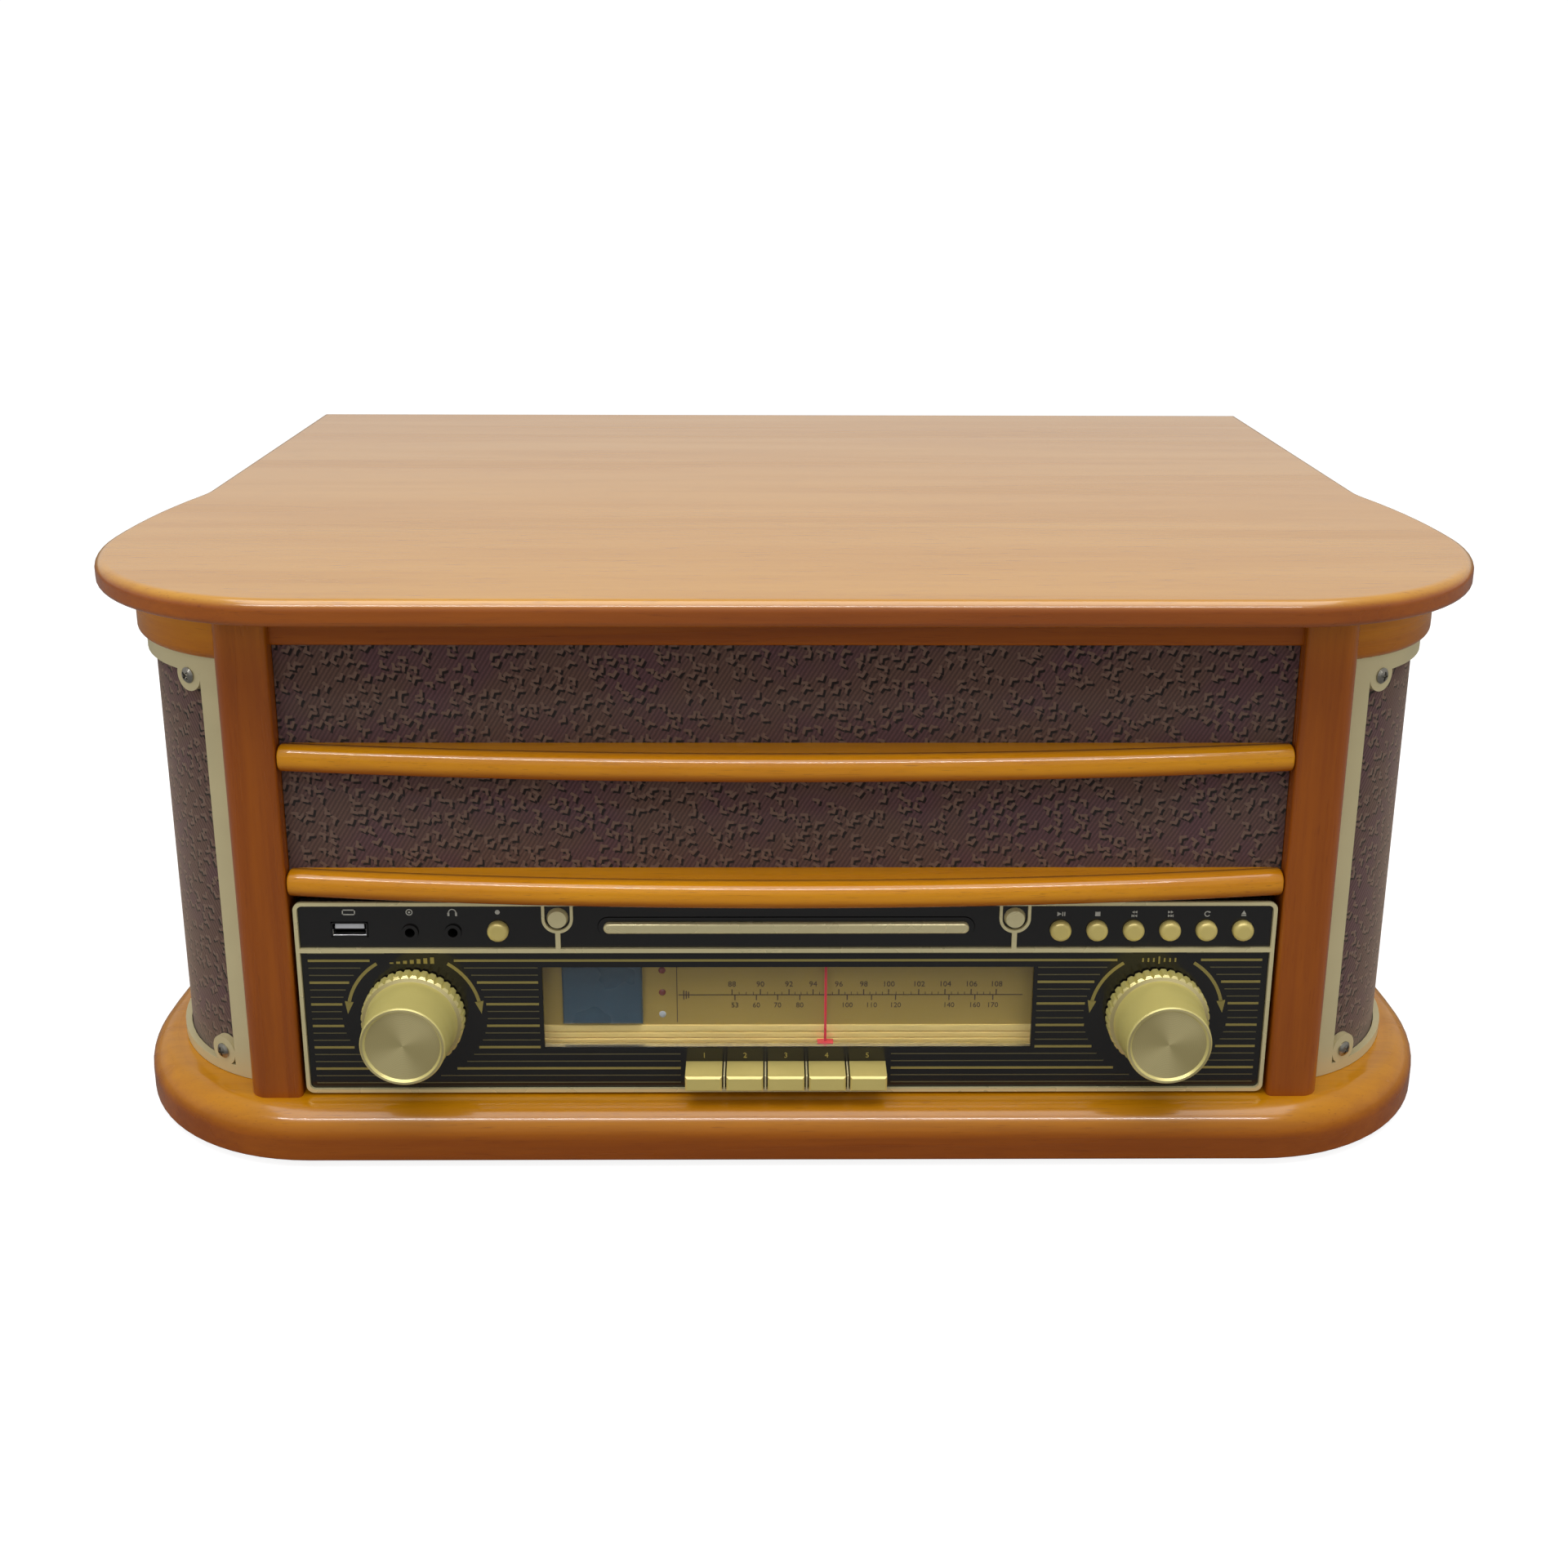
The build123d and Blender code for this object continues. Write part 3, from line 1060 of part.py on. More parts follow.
# Tonearm base: a plate under the pivot post, the lift guide and the ears of the cue lever
cue_x = ARM_X + CUE_OFFSET[0]
cue_y = ARM_Y + CUE_OFFSET[1]
cue_z = deck_top + CUE_PIVOT_HEIGHT
post_top = arm_z - 15
with BuildPart() as arm_base:
    with BuildSketch(Plane.XY.offset(deck_top)):
        with Locations((ARM_X, ARM_Y)):
            Circle(24)
        with Locations((lift_x, lift_y)):
            Circle(9)
        with Locations((cue_x, cue_y)):
            Circle(10)
        make_hull()
    extrude(amount=5)
    with BuildSketch(Plane.XY.offset(deck_top)):
        with Locations((ARM_X, ARM_Y)):
            Circle(ARM_POST_RADIUS)
    extrude(amount=post_top - deck_top)
    with BuildSketch(Plane.XY.offset(deck_top)):
        with Locations((lift_x, lift_y)):
            Circle(4.5)
    extrude(amount=12)
    with BuildSketch(Plane.XY.offset(post_top)):
        with Locations((ARM_X, ARM_Y)):
            Circle(SPIGOT_RADIUS + RUNNING)
    extrude(amount=-13, mode=Mode.SUBTRACT)
    with BuildSketch(Plane.XY.offset(deck_top + 12)):
        with Locations((lift_x, lift_y)):
            Circle(LIFT_PIN_RADIUS + RUNNING)
    extrude(amount=-11, mode=Mode.SUBTRACT)
    for side in (-1, 1):
        ear = sorted((cue_x + side * 4, cue_x + side * 6))
        block(tuple(ear), (cue_y - 4, cue_y + 4), (deck_top + 4, cue_z + 3))
    with BuildSketch(Plane.YZ.offset(cue_x - 5)):
        with Locations((cue_y, cue_z)):
            Circle(1.0)
    extrude(amount=10)
save(arm_base, "arm_base")

# Cue lever between the ears
with BuildPart() as cue_lever:
    with BuildSketch(Plane.YZ.offset(cue_x - 3.7)):
        with Locations((cue_y, cue_z)):
            Circle(3.2)
            Circle(1.0 + RUNNING, mode=Mode.SUBTRACT)
    extrude(amount=7.4)
    lever_angle = math.radians(CUE_REST_ANGLE)
    lever_dir = Vector(0, -math.cos(lever_angle), math.sin(lever_angle))
    lever_start = Vector(cue_x, cue_y, cue_z) + lever_dir * 2.2
    with BuildSketch(Plane(origin=lever_start, x_dir=(1, 0, 0), z_dir=lever_dir)):
        Circle(1.4)
    extrude(amount=CUE_LENGTH)
    with BuildSketch(Plane(origin=lever_start + lever_dir * (CUE_LENGTH - 6), x_dir=(1, 0, 0),
                           z_dir=lever_dir)):
        Circle(2.6)
    extrude(amount=8)
    fillet(cue_lever.edges().filter_by(GeomType.CIRCLE).filter_by(
        lambda edge: abs(edge.radius - 2.6) < 0.01), radius=0.8)
    with BuildSketch(Plane.YZ.offset(cue_x - 3.7)):
        with Locations((cue_y, cue_z)):
            Circle(1.0 + RUNNING)
    extrude(amount=7.4, mode=Mode.SUBTRACT)
save(cue_lever, "cue_lever")

# Lift bar: an arc under the tube, on a pin that slides in its guide
with BuildPart() as lift_bar:
    bar_top = arm_z - ARM_TUBE_RADIUS - LOOSE
    with BuildSketch(Plane.XY.offset(bar_top - 2)):
        with BuildLine():
            track = CenterArc((ARM_X, ARM_Y), LIFT_DISTANCE, 270 - LIFT_SPAN - 3, LIFT_SPAN + 6)
        SlotArc(track, 4)
    extrude(amount=2)
    with BuildSketch(Plane.XY.offset(bar_top - 1)):
        with Locations((lift_x, lift_y)):
            Circle(LIFT_PIN_RADIUS)
    extrude(amount=deck_top + 2 - bar_top + 1)
save(lift_bar, "lift_bar")

# Yoke that swings on the post and carries the arm between two cheeks
with BuildPart() as arm_yoke:
    with BuildSketch(Plane.XY.offset(post_top + LOOSE)):
        with Locations((ARM_X, ARM_Y)):
            Circle(ARM_POST_RADIUS + 1)
    extrude(amount=4.2)
    with BuildSketch(Plane.XY.offset(post_top + 1)):
        with Locations((ARM_X, ARM_Y)):
            Circle(SPIGOT_RADIUS)
    extrude(amount=-12)
    for side in (-1, 1):
        cheek = sorted((ARM_X + side * 8.5, ARM_X + side * 11.5))
        with BuildSketch(Plane.YZ.offset(cheek[0])):
            with Locations((ARM_Y, (post_top + 3 + arm_z) / 2)):
                Rectangle(11, arm_z - post_top - 3)
            with Locations((ARM_Y, arm_z)):
                Circle(5.5)
                Circle(ARM_PIN_RADIUS + RUNNING, mode=Mode.SUBTRACT)
        extrude(amount=3)
save(arm_yoke, "arm_yoke")

# Tonearm: the tube, the pivot block with its two pins and the stub for the counterweight
tube_end = ARM_Y - ARM_LENGTH + 18
with BuildPart() as tonearm:
    block((ARM_X - 7.5, ARM_X + 7.5), (ARM_Y - 7, ARM_Y + 7), (arm_z - 5.5, arm_z + 5.5))
    fillet(tonearm.edges().filter_by(Axis.X), radius=2.0)
    with BuildSketch(Plane.YZ.offset(ARM_X - 11)):
        with Locations((ARM_Y, arm_z)):
            Circle(ARM_PIN_RADIUS)
    extrude(amount=22)
    with BuildSketch(Plane.XZ.offset(-ARM_Y)):
        with Locations((ARM_X, arm_z)):
            Circle(ARM_TUBE_RADIUS)
    extrude(amount=ARM_Y - tube_end)
    with BuildSketch(Plane.XZ.offset(-ARM_Y)):
        with Locations((ARM_X, arm_z)):
            Circle(STUB_RADIUS)
    extrude(amount=-STUB_LENGTH)
save(tonearm, "tonearm")

# Counterweight on the stub
with BuildPart() as counterweight:
    with BuildSketch(Plane.XZ.offset(-(ARM_Y + STUB_LENGTH - 22))):
        with Locations((ARM_X, arm_z)):
            Circle(13)
            Circle(STUB_RADIUS + RUNNING, mode=Mode.SUBTRACT)
    extrude(amount=-20)
    chamfer(counterweight.edges().filter_by(GeomType.CIRCLE).filter_by(
        lambda edge: edge.radius > 12), length=1.2)
save(counterweight, "counterweight")

# Headshell with its finger lift, and the cartridge below it
shell_bottom = arm_z - 2.5
with BuildPart() as headshell:
    with BuildSketch(Plane.XZ.offset(-(tube_end + 9))):
        with Locations((ARM_X, arm_z)):
            Circle(ARM_TUBE_RADIUS + 1.6)
    extrude(amount=13)
    with BuildSketch(Plane.XY.offset(shell_bottom)):
        with BuildLine():
            Polyline((ARM_X - 5, tube_end), (ARM_X + 5, tube_end), (ARM_X + 9, tube_end - 12),
                     (ARM_X + 8, tube_end - 29), (ARM_X - 8, tube_end - 29),
                     (ARM_X - 9, tube_end - 12), close=True)
        make_face()
    extrude(amount=4)
    with BuildSketch(Plane.XY.offset(shell_bottom + 1)):
        with BuildLine():
            Polyline((ARM_X + 8, tube_end - 18), (ARM_X + 17, tube_end - 20),
                     (ARM_X + 19, tube_end - 24), (ARM_X + 8, tube_end - 23), close=True)
        make_face()
    extrude(amount=1.2)
    with BuildSketch(Plane.XZ.offset(-(tube_end + 9))):
        with Locations((ARM_X, arm_z)):
            Circle(ARM_TUBE_RADIUS + RUNNING)
    extrude(amount=9 + RUNNING, mode=Mode.SUBTRACT)
    block((ARM_X - 7, ARM_X + 7), (tube_end - 27, tube_end - 10),
          (mat_top + 5, shell_bottom), mode=Mode.ADD)
    with BuildSketch(Plane.XY.offset(mat_top + 5)):
        with Locations((ARM_X, ARM_Y - ARM_LENGTH)):
            Rectangle(4, 5)
    extrude(amount=-2.9, taper=25)
save(headshell, "headshell")

# Speed selector that slides in its slot in the deck
with BuildPart() as speed_selector:
    stem_half = SELECTOR_SLOT / 2 - FIT
    block((SELECTOR_X - stem_half, SELECTOR_X + stem_half),
          (SELECTOR_Y - SELECTOR_SLOT / 2, SELECTOR_Y + SELECTOR_SLOT / 2),
          (deck_bottom - 2, deck_top + 1))
    block((SELECTOR_X - 5, SELECTOR_X + 5), (SELECTOR_Y - 4, SELECTOR_Y + 4),
          (deck_top + LOOSE, deck_top + 5))
    fillet(speed_selector.faces().sort_by(Axis.Z)[-1].edges(), radius=0.8)
save(speed_selector, "speed_selector")

# Back panel with vents and holes for the sockets and screws
with BuildPart() as back_panel:
    panel_half = CASE_CORNER[0] + CASE_CORNER[2]
    with BuildSketch(Plane.XZ.offset(-CASE_BACK)):
        with Locations((0, (base_top + case_top) / 2)):
            Rectangle(2 * (side_straight - SIDE_WALL) - 2 * FIT, CASE_HEIGHT)
        with Locations((0, VENT_Z)):
            with GridLocations(VENT_PITCH, 9, 5, 6):
                SlotOverall(VENT_LENGTH, 3, mode=Mode.SUBTRACT)
        with Locations((INLET_X, REAR_Z)):
            Rectangle(INLET_WIDTH + 2 * FIT, INLET_HEIGHT + 2 * FIT, mode=Mode.SUBTRACT)
        with Locations(*[(x, REAR_Z) for x in LINE_OUT_X]):
            Circle(LINE_OUT_RADIUS + FIT, mode=Mode.SUBTRACT)
        with Locations(*back_screws):
            Circle(SCREW_SHANK + RUNNING, mode=Mode.SUBTRACT)
    extrude(amount=BACK_THICKNESS)
save(back_panel, "back_panel")

# Mains inlet with its two pins, and the pair of line-out sockets
with BuildPart() as rear_sockets:
    block((INLET_X - INLET_WIDTH / 2, INLET_X + INLET_WIDTH / 2), (CASE_BACK - 20, CASE_BACK),
          (REAR_Z - INLET_HEIGHT / 2, REAR_Z + INLET_HEIGHT / 2))
    block((INLET_X - INLET_WIDTH / 2 - 2, INLET_X + INLET_WIDTH / 2 + 2), (CASE_BACK, CASE_BACK + 1.5),
          (REAR_Z - INLET_HEIGHT / 2 - 2, REAR_Z + INLET_HEIGHT / 2 + 2))
    with BuildSketch(back_plane(INLET_X, REAR_Z).offset(1.5)):
        SlotOverall(15.5, 8.5)
    extrude(amount=-15, mode=Mode.SUBTRACT)
    with BuildSketch(back_plane(INLET_X, REAR_Z).offset(-14)):
        with GridLocations(8.6, 1, 2, 1):
            Circle(1.1)
    extrude(amount=8)
    for x in LINE_OUT_X:
        block((x - 6, x + 6), (back_inner - 14, back_inner), (REAR_Z - 6, REAR_Z + 6))
        with BuildSketch(back_plane(x, REAR_Z).offset(9)):
            Circle(LINE_OUT_RADIUS)
        extrude(amount=-16)
        with BuildSketch(back_plane(x, REAR_Z).offset(9)):
            Circle(1.6)
        extrude(amount=-12, mode=Mode.SUBTRACT)
save(rear_sockets, "rear_sockets")

# Lid: a board of the plan outline, rounded all round, recessed below for the hinge leaves
hinge_y = CASE_BACK + KNUCKLE_RADIUS + LOOSE
hinge_z = lid_bottom + LEAF_THICKNESS - KNUCKLE_RADIUS
leaf_front = hinge_y - 23.5
knuckle_back = hinge_y + KNUCKLE_RADIUS
half_leaf = HINGE_LENGTH / 2
third = HINGE_LENGTH * 0.18
with BuildPart() as lid_panel:
    with BuildSketch(Plane.XY.offset(lid_bottom)):
        add(plan_face(LID_CORNER, LID_BACK))
    extrude(amount=LID_THICKNESS)
    fillet(lid_panel.faces().sort_by(Axis.Z)[-1].edges(), radius=LID_ROUNDINGS[0])
    fillet(lid_panel.faces().sort_by(Axis.Z)[0].edges(), radius=LID_ROUNDINGS[1])
    for x in (-HINGE_X, HINGE_X):
        block((x - half_leaf - FIT, x + half_leaf + FIT), (leaf_front - FIT, knuckle_back + LOOSE),
              (lid_bottom, lid_bottom + LEAF_THICKNESS), mode=Mode.SUBTRACT)
        block((x - half_leaf - FIT, x + half_leaf + FIT), (CASE_BACK - 0.1, knuckle_back + LOOSE),
              (lid_bottom, lid_bottom + LEAF_THICKNESS + LOOSE), mode=Mode.SUBTRACT)
save(lid_panel, "lid_panel")

# Stay geometry: the arm turns as far as the lid, so in the lid its end runs on an arc whose
# radius is the distance between the two pivots
stay_pivot = Vector(0, STAY_PIVOT_Y, case_top - STAY_PIVOT_DROP)
stay_angle = math.radians(STAY_ANGLE)
stay_reach = Vector(0, -STAY_LENGTH * math.cos(stay_angle), STAY_LENGTH * math.sin(stay_angle))
slot_centre = Vector(0, hinge_y, hinge_z) + stay_reach
slot_radius = math.hypot(stay_pivot.Y - hinge_y, stay_pivot.Z - hinge_z)
slot_start = math.degrees(math.atan2(stay_pivot.Z - hinge_z, stay_pivot.Y - hinge_y))

# Hinge leaves on the lid with their middle knuckles, and the slotted bracket for the stay
with BuildPart() as lid_hardware:
    for x in (-HINGE_X, HINGE_X):
        block((x - half_leaf, x + half_leaf), (leaf_front, CASE_BACK - 0.2),
              (lid_bottom, lid_bottom + LEAF_THICKNESS))
        block((x - third + FIT, x + third - FIT), (CASE_BACK - 0.5, hinge_y),
              (lid_bottom, lid_bottom + LEAF_THICKNESS))
        with BuildSketch(Plane.YZ.offset(x - third + FIT)):
            with Locations((hinge_y, hinge_z)):
                Circle(KNUCKLE_RADIUS)
        extrude(amount=2 * third - 2 * FIT)
        with BuildSketch(Plane.YZ.offset(x - third)):
            with Locations((hinge_y, hinge_z)):
                Circle(HINGE_PIN_RADIUS + RUNNING)
        extrude(amount=2 * third, mode=Mode.SUBTRACT)
    bracket_x = STAY_X - STAY_THICKNESS / 2 - BRACKET_GAP - BRACKET_THICKNESS
    low_y = slot_centre.Y - slot_radius * 0.75
    high_y = slot_centre.Y + slot_radius * 0.6
    low_z = slot_centre.Z - slot_radius - 6
    block((bracket_x, bracket_x + BRACKET_THICKNESS), (low_y, high_y), (low_z, lid_bottom))
    block((bracket_x - 10, bracket_x + BRACKET_THICKNESS), (low_y, high_y),
          (lid_bottom - BRACKET_THICKNESS, lid_bottom))
    with BuildSketch(Plane.YZ.offset(bracket_x - 1)):
        with BuildLine():
            stay_track = CenterArc((slot_centre.Y, slot_centre.Z), slot_radius, slot_start - 1,
                                   LID_ANGLE + 2)
        SlotArc(stay_track, 2 * STAY_PIN_RADIUS + 2 * LOOSE)
    extrude(amount=BRACKET_THICKNESS + 2, mode=Mode.SUBTRACT)
save(lid_hardware, "lid_hardware")

# Hinge leaves on the back panel with their pins, and the stay's bracket on the right wall
wall_x = side_straight - SIDE_WALL
with BuildPart() as case_hardware:
    leaf_back = CASE_BACK + LEAF_THICKNESS + LOOSE
    for x in (-HINGE_X, HINGE_X):
        block((x - half_leaf, x + half_leaf), (CASE_BACK, leaf_back),
              (hinge_z - 22, hinge_z - KNUCKLE_RADIUS - LOOSE))
        for side in (-1, 1):
            knuckle = sorted((x + side * third, x + side * half_leaf))
            block(tuple(knuckle), (CASE_BACK, leaf_back), (hinge_z - KNUCKLE_RADIUS - 1, hinge_z))
            with BuildSketch(Plane.YZ.offset(knuckle[0])):
                with Locations((hinge_y, hinge_z)):
                    Circle(KNUCKLE_RADIUS)
            extrude(amount=half_leaf - third)
        with BuildSketch(Plane.YZ.offset(x - half_leaf)):
            with Locations((hinge_y, hinge_z)):
                Circle(HINGE_PIN_RADIUS)
        extrude(amount=HINGE_LENGTH)
    block((wall_x - 1.5, wall_x), (STAY_PIVOT_Y - 12, STAY_PIVOT_Y + 12),
          (stay_pivot.Z - 10, stay_pivot.Z + 10))
    with BuildSketch(Plane.YZ.offset(STAY_X - STAY_THICKNESS / 2 - 1)):
        with Locations((stay_pivot.Y, stay_pivot.Z)):
            Circle(STAY_PIN_RADIUS)
    extrude(amount=wall_x - STAY_X + STAY_THICKNESS / 2 + 1)
    with BuildSketch(Plane.YZ.offset(STAY_X + STAY_THICKNESS / 2 + LOOSE)):
        with Locations((stay_pivot.Y, stay_pivot.Z)):
            Circle(STAY_PIN_RADIUS + 1.5)
    extrude(amount=wall_x - STAY_X - STAY_THICKNESS / 2 - LOOSE)
save(case_hardware, "case_hardware")

# Lid stay: a flat arm on the wall pin, with a pin at its end that rides in the bracket's slot
with BuildPart() as lid_stay:
    stay_end = stay_pivot + stay_reach
    with BuildSketch(Plane.YZ.offset(STAY_X - STAY_THICKNESS / 2)):
        with Locations((stay_pivot.Y, stay_pivot.Z), (stay_end.Y, stay_end.Z)):
            Circle(4.5)
        make_hull()
        with Locations((stay_pivot.Y, stay_pivot.Z)):
            Circle(STAY_PIN_RADIUS + RUNNING, mode=Mode.SUBTRACT)
    extrude(amount=STAY_THICKNESS)
    with BuildSketch(Plane.YZ.offset(STAY_X)):
        with Locations((stay_end.Y, stay_end.Z)):
            Circle(STAY_PIN_RADIUS)
    extrude(amount=-(STAY_THICKNESS / 2 + BRACKET_GAP + BRACKET_THICKNESS + 1))
save(lid_stay, "lid_stay")
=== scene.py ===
# %% [markdown]
# A wooden music centre, dressed in Blender
#
# The construction of this object, with its sixty pieces and its moving parts, was made in a CAD
# program. This script loads those pieces as a fixed frame and gives them what CAD can't: wood
# grain, woven cloth, spun metal, printed lines and light. Every piece stays where the frame says.

# %% Load the frame
import math

import bmesh
import bpy
from mathutils import Matrix, Vector


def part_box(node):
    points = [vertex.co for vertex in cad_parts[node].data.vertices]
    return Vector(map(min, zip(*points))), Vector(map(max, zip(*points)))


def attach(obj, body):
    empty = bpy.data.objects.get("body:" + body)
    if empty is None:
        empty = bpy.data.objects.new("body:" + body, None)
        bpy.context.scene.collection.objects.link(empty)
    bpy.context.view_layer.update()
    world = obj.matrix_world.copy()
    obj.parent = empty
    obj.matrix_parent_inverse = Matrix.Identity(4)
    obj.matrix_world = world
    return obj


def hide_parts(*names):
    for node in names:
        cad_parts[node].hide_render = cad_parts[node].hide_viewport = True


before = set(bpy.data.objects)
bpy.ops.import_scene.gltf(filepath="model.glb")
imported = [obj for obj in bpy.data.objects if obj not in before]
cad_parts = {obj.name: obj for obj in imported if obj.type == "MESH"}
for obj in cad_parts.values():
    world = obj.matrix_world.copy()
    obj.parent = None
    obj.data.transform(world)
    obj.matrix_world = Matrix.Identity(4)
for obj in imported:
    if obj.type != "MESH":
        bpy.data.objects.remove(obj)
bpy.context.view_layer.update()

print("loaded", len(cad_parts), "nodes")

# %% [markdown]
# The camera
#
# The photograph was taken from in front and a little above, quite close, so the lid's sides run
# together towards the back. The focal length, the tilt and the place were worked out from the
# lid's edges and from the ellipses of the two knobs. The picture was cropped off centre, and a
# lens shift does the same here.

# %% Camera
MM = 0.001
PHOTO_SIDE = 1920
FOCAL_PIXELS = 2042.0
CENTRE_ROW = 700.0
SENSOR_WIDTH = 36.0
CAMERA_TILT = 15.23
CAMERA_TURN = -0.56
CAMERA_ROLL = 0.21
CAMERA_PLACE = (-6.8 * MM, -712.4 * MM, 377.5 * MM)


def put_in_scene(name, data):
    """An object made from its data, linked into the scene."""
    item = bpy.data.objects.new(name, data)
    bpy.context.scene.collection.objects.link(item)
    return item


camera_data = bpy.data.cameras.new("photo_camera")
camera_data.sensor_width = SENSOR_WIDTH
camera_data.lens = FOCAL_PIXELS / PHOTO_SIDE * SENSOR_WIDTH
camera_data.shift_y = (CENTRE_ROW - PHOTO_SIDE / 2) / PHOTO_SIDE
camera = put_in_scene("photo_camera", camera_data)
camera.location = CAMERA_PLACE
camera.rotation_euler = (
    Matrix.Rotation(math.radians(CAMERA_TURN), 3, "Z")
    @ Matrix.Rotation(math.radians(90 - CAMERA_TILT), 3, "X")
    @ Matrix.Rotation(math.radians(CAMERA_ROLL), 3, "Z")
).to_euler()
bpy.context.scene.camera = camera
print("camera lens", round(camera_data.lens, 2), "mm, shift", round(camera_data.shift_y, 4))

# %% [markdown]
# Small helpers
#
# The sky and every material are networks of nodes. These helpers add a node, set its numbers and
# join it to others in one line, so that each network reads as a list of what it is made of.

# %% Node helpers
def join(tree, node, inputs):
    """A node's inputs, each set to a number or a colour, or linked to another node's output."""
    for key, value in inputs.items():
        if isinstance(value, bpy.types.NodeSocket):
            tree.links.new(value, node.inputs[key])
        else:
            node.inputs[key].default_value = value


def add_node(tree, kind, inputs=None, **settings):
    """The outputs of a new shader node, with its settings and inputs."""
    node = tree.nodes.new("ShaderNode" + kind)
    for key, value in settings.items():
        setattr(node, key, value)
    join(tree, node, inputs or {})
    return node.outputs


def add_math(tree, operation, first, second=0.0, third=0.0):
    """The output of one sum."""
    inputs = {0: first, 1: second, 2: third}
    return add_node(tree, "Math", inputs, operation=operation)[0]


def add_mix(tree, factor, first, second):
    """The output of a mix of two colours."""
    inputs = {0: factor, 6: first, 7: second}
    return add_node(tree, "Mix", inputs, data_type="RGBA")[2]


def add_range(tree, value, low, high, new_low=0.0, new_high=1.0):
    """The value moved from one range to another, with soft ends."""
    inputs = {"Value": value, "From Min": low, "From Max": high, "To Min": new_low,
              "To Max": new_high}
    return add_node(tree, "MapRange", inputs, interpolation_type="SMOOTHSTEP")[0]


def add_noise(tree, place, scale, detail, roughness=0.5, distortion=0.0):
    """The value of a noise texture."""
    inputs = {"Vector": place, "Scale": scale, "Detail": detail, "Roughness": roughness,
              "Distortion": distortion}
    return add_node(tree, "TexNoise", inputs)[0]


def split_axes(tree, vector):
    """The three numbers of a vector, by their names X, Y and Z."""
    return add_node(tree, "SeparateXYZ", {0: vector})


print("node helpers ready")

# %% [markdown]
# Light
#
# The photograph has soft light that is strongest from above: the tops are bright, and the upright
# faces are deep and hardly reflect anything. One large panel overhead and a dim sky do that, helped
# by the woods, whose colours also have this light and shade painted in. Only the camera sees the
# sky as plain white. Weak panels in front and at the sides fill the shadows, and are hidden from
# reflections so that black stays black. A narrow bright strip draws the glints along the rounded
# edges, and nothing but reflections shows it.

# %% Sky
SKY_STRENGTH = 0.5
SKY_COLOUR = (1.0, 0.995, 0.99, 1)

world = bpy.data.worlds.new("white_tent")
world.use_nodes = True
tree = world.node_tree
camera_ray = add_node(tree, "LightPath")["Is Camera Ray"]
strength = add_math(tree, "MULTIPLY_ADD", camera_ray, 1 - SKY_STRENGTH, SKY_STRENGTH)
join(tree, tree.nodes["Background"], {"Color": SKY_COLOUR, "Strength": strength})
bpy.context.scene.world = world
bpy.context.scene.view_settings.view_transform = "Standard"
print("a sky of", SKY_STRENGTH)


# %% Light panels
def add_panel_light(name, place, target, width, height, power):
    """A rectangular area light at a place, facing a target, in metres and watts."""
    data = bpy.data.lights.new(name, "AREA")
    data.shape = "RECTANGLE"
    data.size = width
    data.size_y = height
    data.energy = power
    light = put_in_scene(name, data)
    light.location = place
    light.rotation_euler = (Vector(target) - Vector(place)).to_track_quat("-Z", "Y").to_euler()
    return light


add_panel_light("overhead_panel", (0, -0.25, 1.5), (0, -0.05, 0.1), width=1.8, height=1.2, power=21)
fills = [add_panel_light("front_panel", (-0.4, -1.9, 0.9), (0, -0.1, 0.1),
                         width=1.4, height=0.8, power=4)]
for side in (-1, 1):
    fills.append(add_panel_light("side_panel", (side * 1.9, -0.4, 0.6), (0, 0, 0.1),
                                 width=1.0, height=1.0, power=7))
for fill in fills:
    fill.visible_glossy = False
glint = add_panel_light("glint_strip", (-0.1, -1.1, 1.3), (0, -0.16, 0.12),
                        width=1.8, height=0.05, power=16)
glint.visible_diffuse = False
print("an overhead panel,", len(fills), "weak ones and a glint strip")

# %% [markdown]
# Wood
#
# The case is veneered board under a thick orange lacquer. Real grain is long in one direction and
# fine across it, so the same noise is read on coordinates that are stretched along the grain:
# broad bands give the figure, a finer layer the streaks, and thresholded specks the pores. The
# light from above is painted into the lacquer's colour: golden tones paint the lit rounded tops of
# the lid, the mouldings and the base, and deep red brown tones paint the shaded faces below them.
# So each wood has a lit and a shaded pair of tones, and the height chooses between them. An effect
# that several materials use is a node group with named inputs and outputs.

# %% Group and material helpers
def start_group(name, inputs, outputs):
    """An empty node group, with the values it is given and the node that takes its results."""
    group = bpy.data.node_groups.new(name, "ShaderNodeTree")
    for label, kind in inputs:
        group.interface.new_socket(name=label, in_out="INPUT", socket_type=kind)
    for label, kind in outputs:
        group.interface.new_socket(name=label, in_out="OUTPUT", socket_type=kind)
    entry = group.nodes.new("NodeGroupInput")
    return group, entry.outputs, group.nodes.new("NodeGroupOutput")


materials = {}


def start_material(name, sockets):
    """A new material's node tree and its Principled shader, with some sockets set."""
    material = materials[name] = bpy.data.materials.new(name)
    material.use_nodes = True
    shader = material.node_tree.nodes["Principled BSDF"]
    join(material.node_tree, shader, sockets)
    return material.node_tree, shader


def object_place(tree, scale=(1, 1, 1), shift=(0, 0, 0)):
    """The place on the object, stretched, as a vector."""
    source = add_node(tree, "TexCoord")["Object"]
    inputs = {"Vector": source, "Scale": scale, "Location": shift}
    return add_node(tree, "Mapping", inputs)[0]


def add_bump(tree, shader, height, distance, strength=1.0):
    """Bump on a shader from a height."""
    inputs = {"Height": height, "Distance": distance, "Strength": strength}
    join(tree, shader, {"Normal": add_node(tree, "Bump", inputs)[0]})


VECTOR = "NodeSocketVector"
COLOUR = "NodeSocketColor"
NUMBER = "NodeSocketFloat"
print("group and material helpers ready")

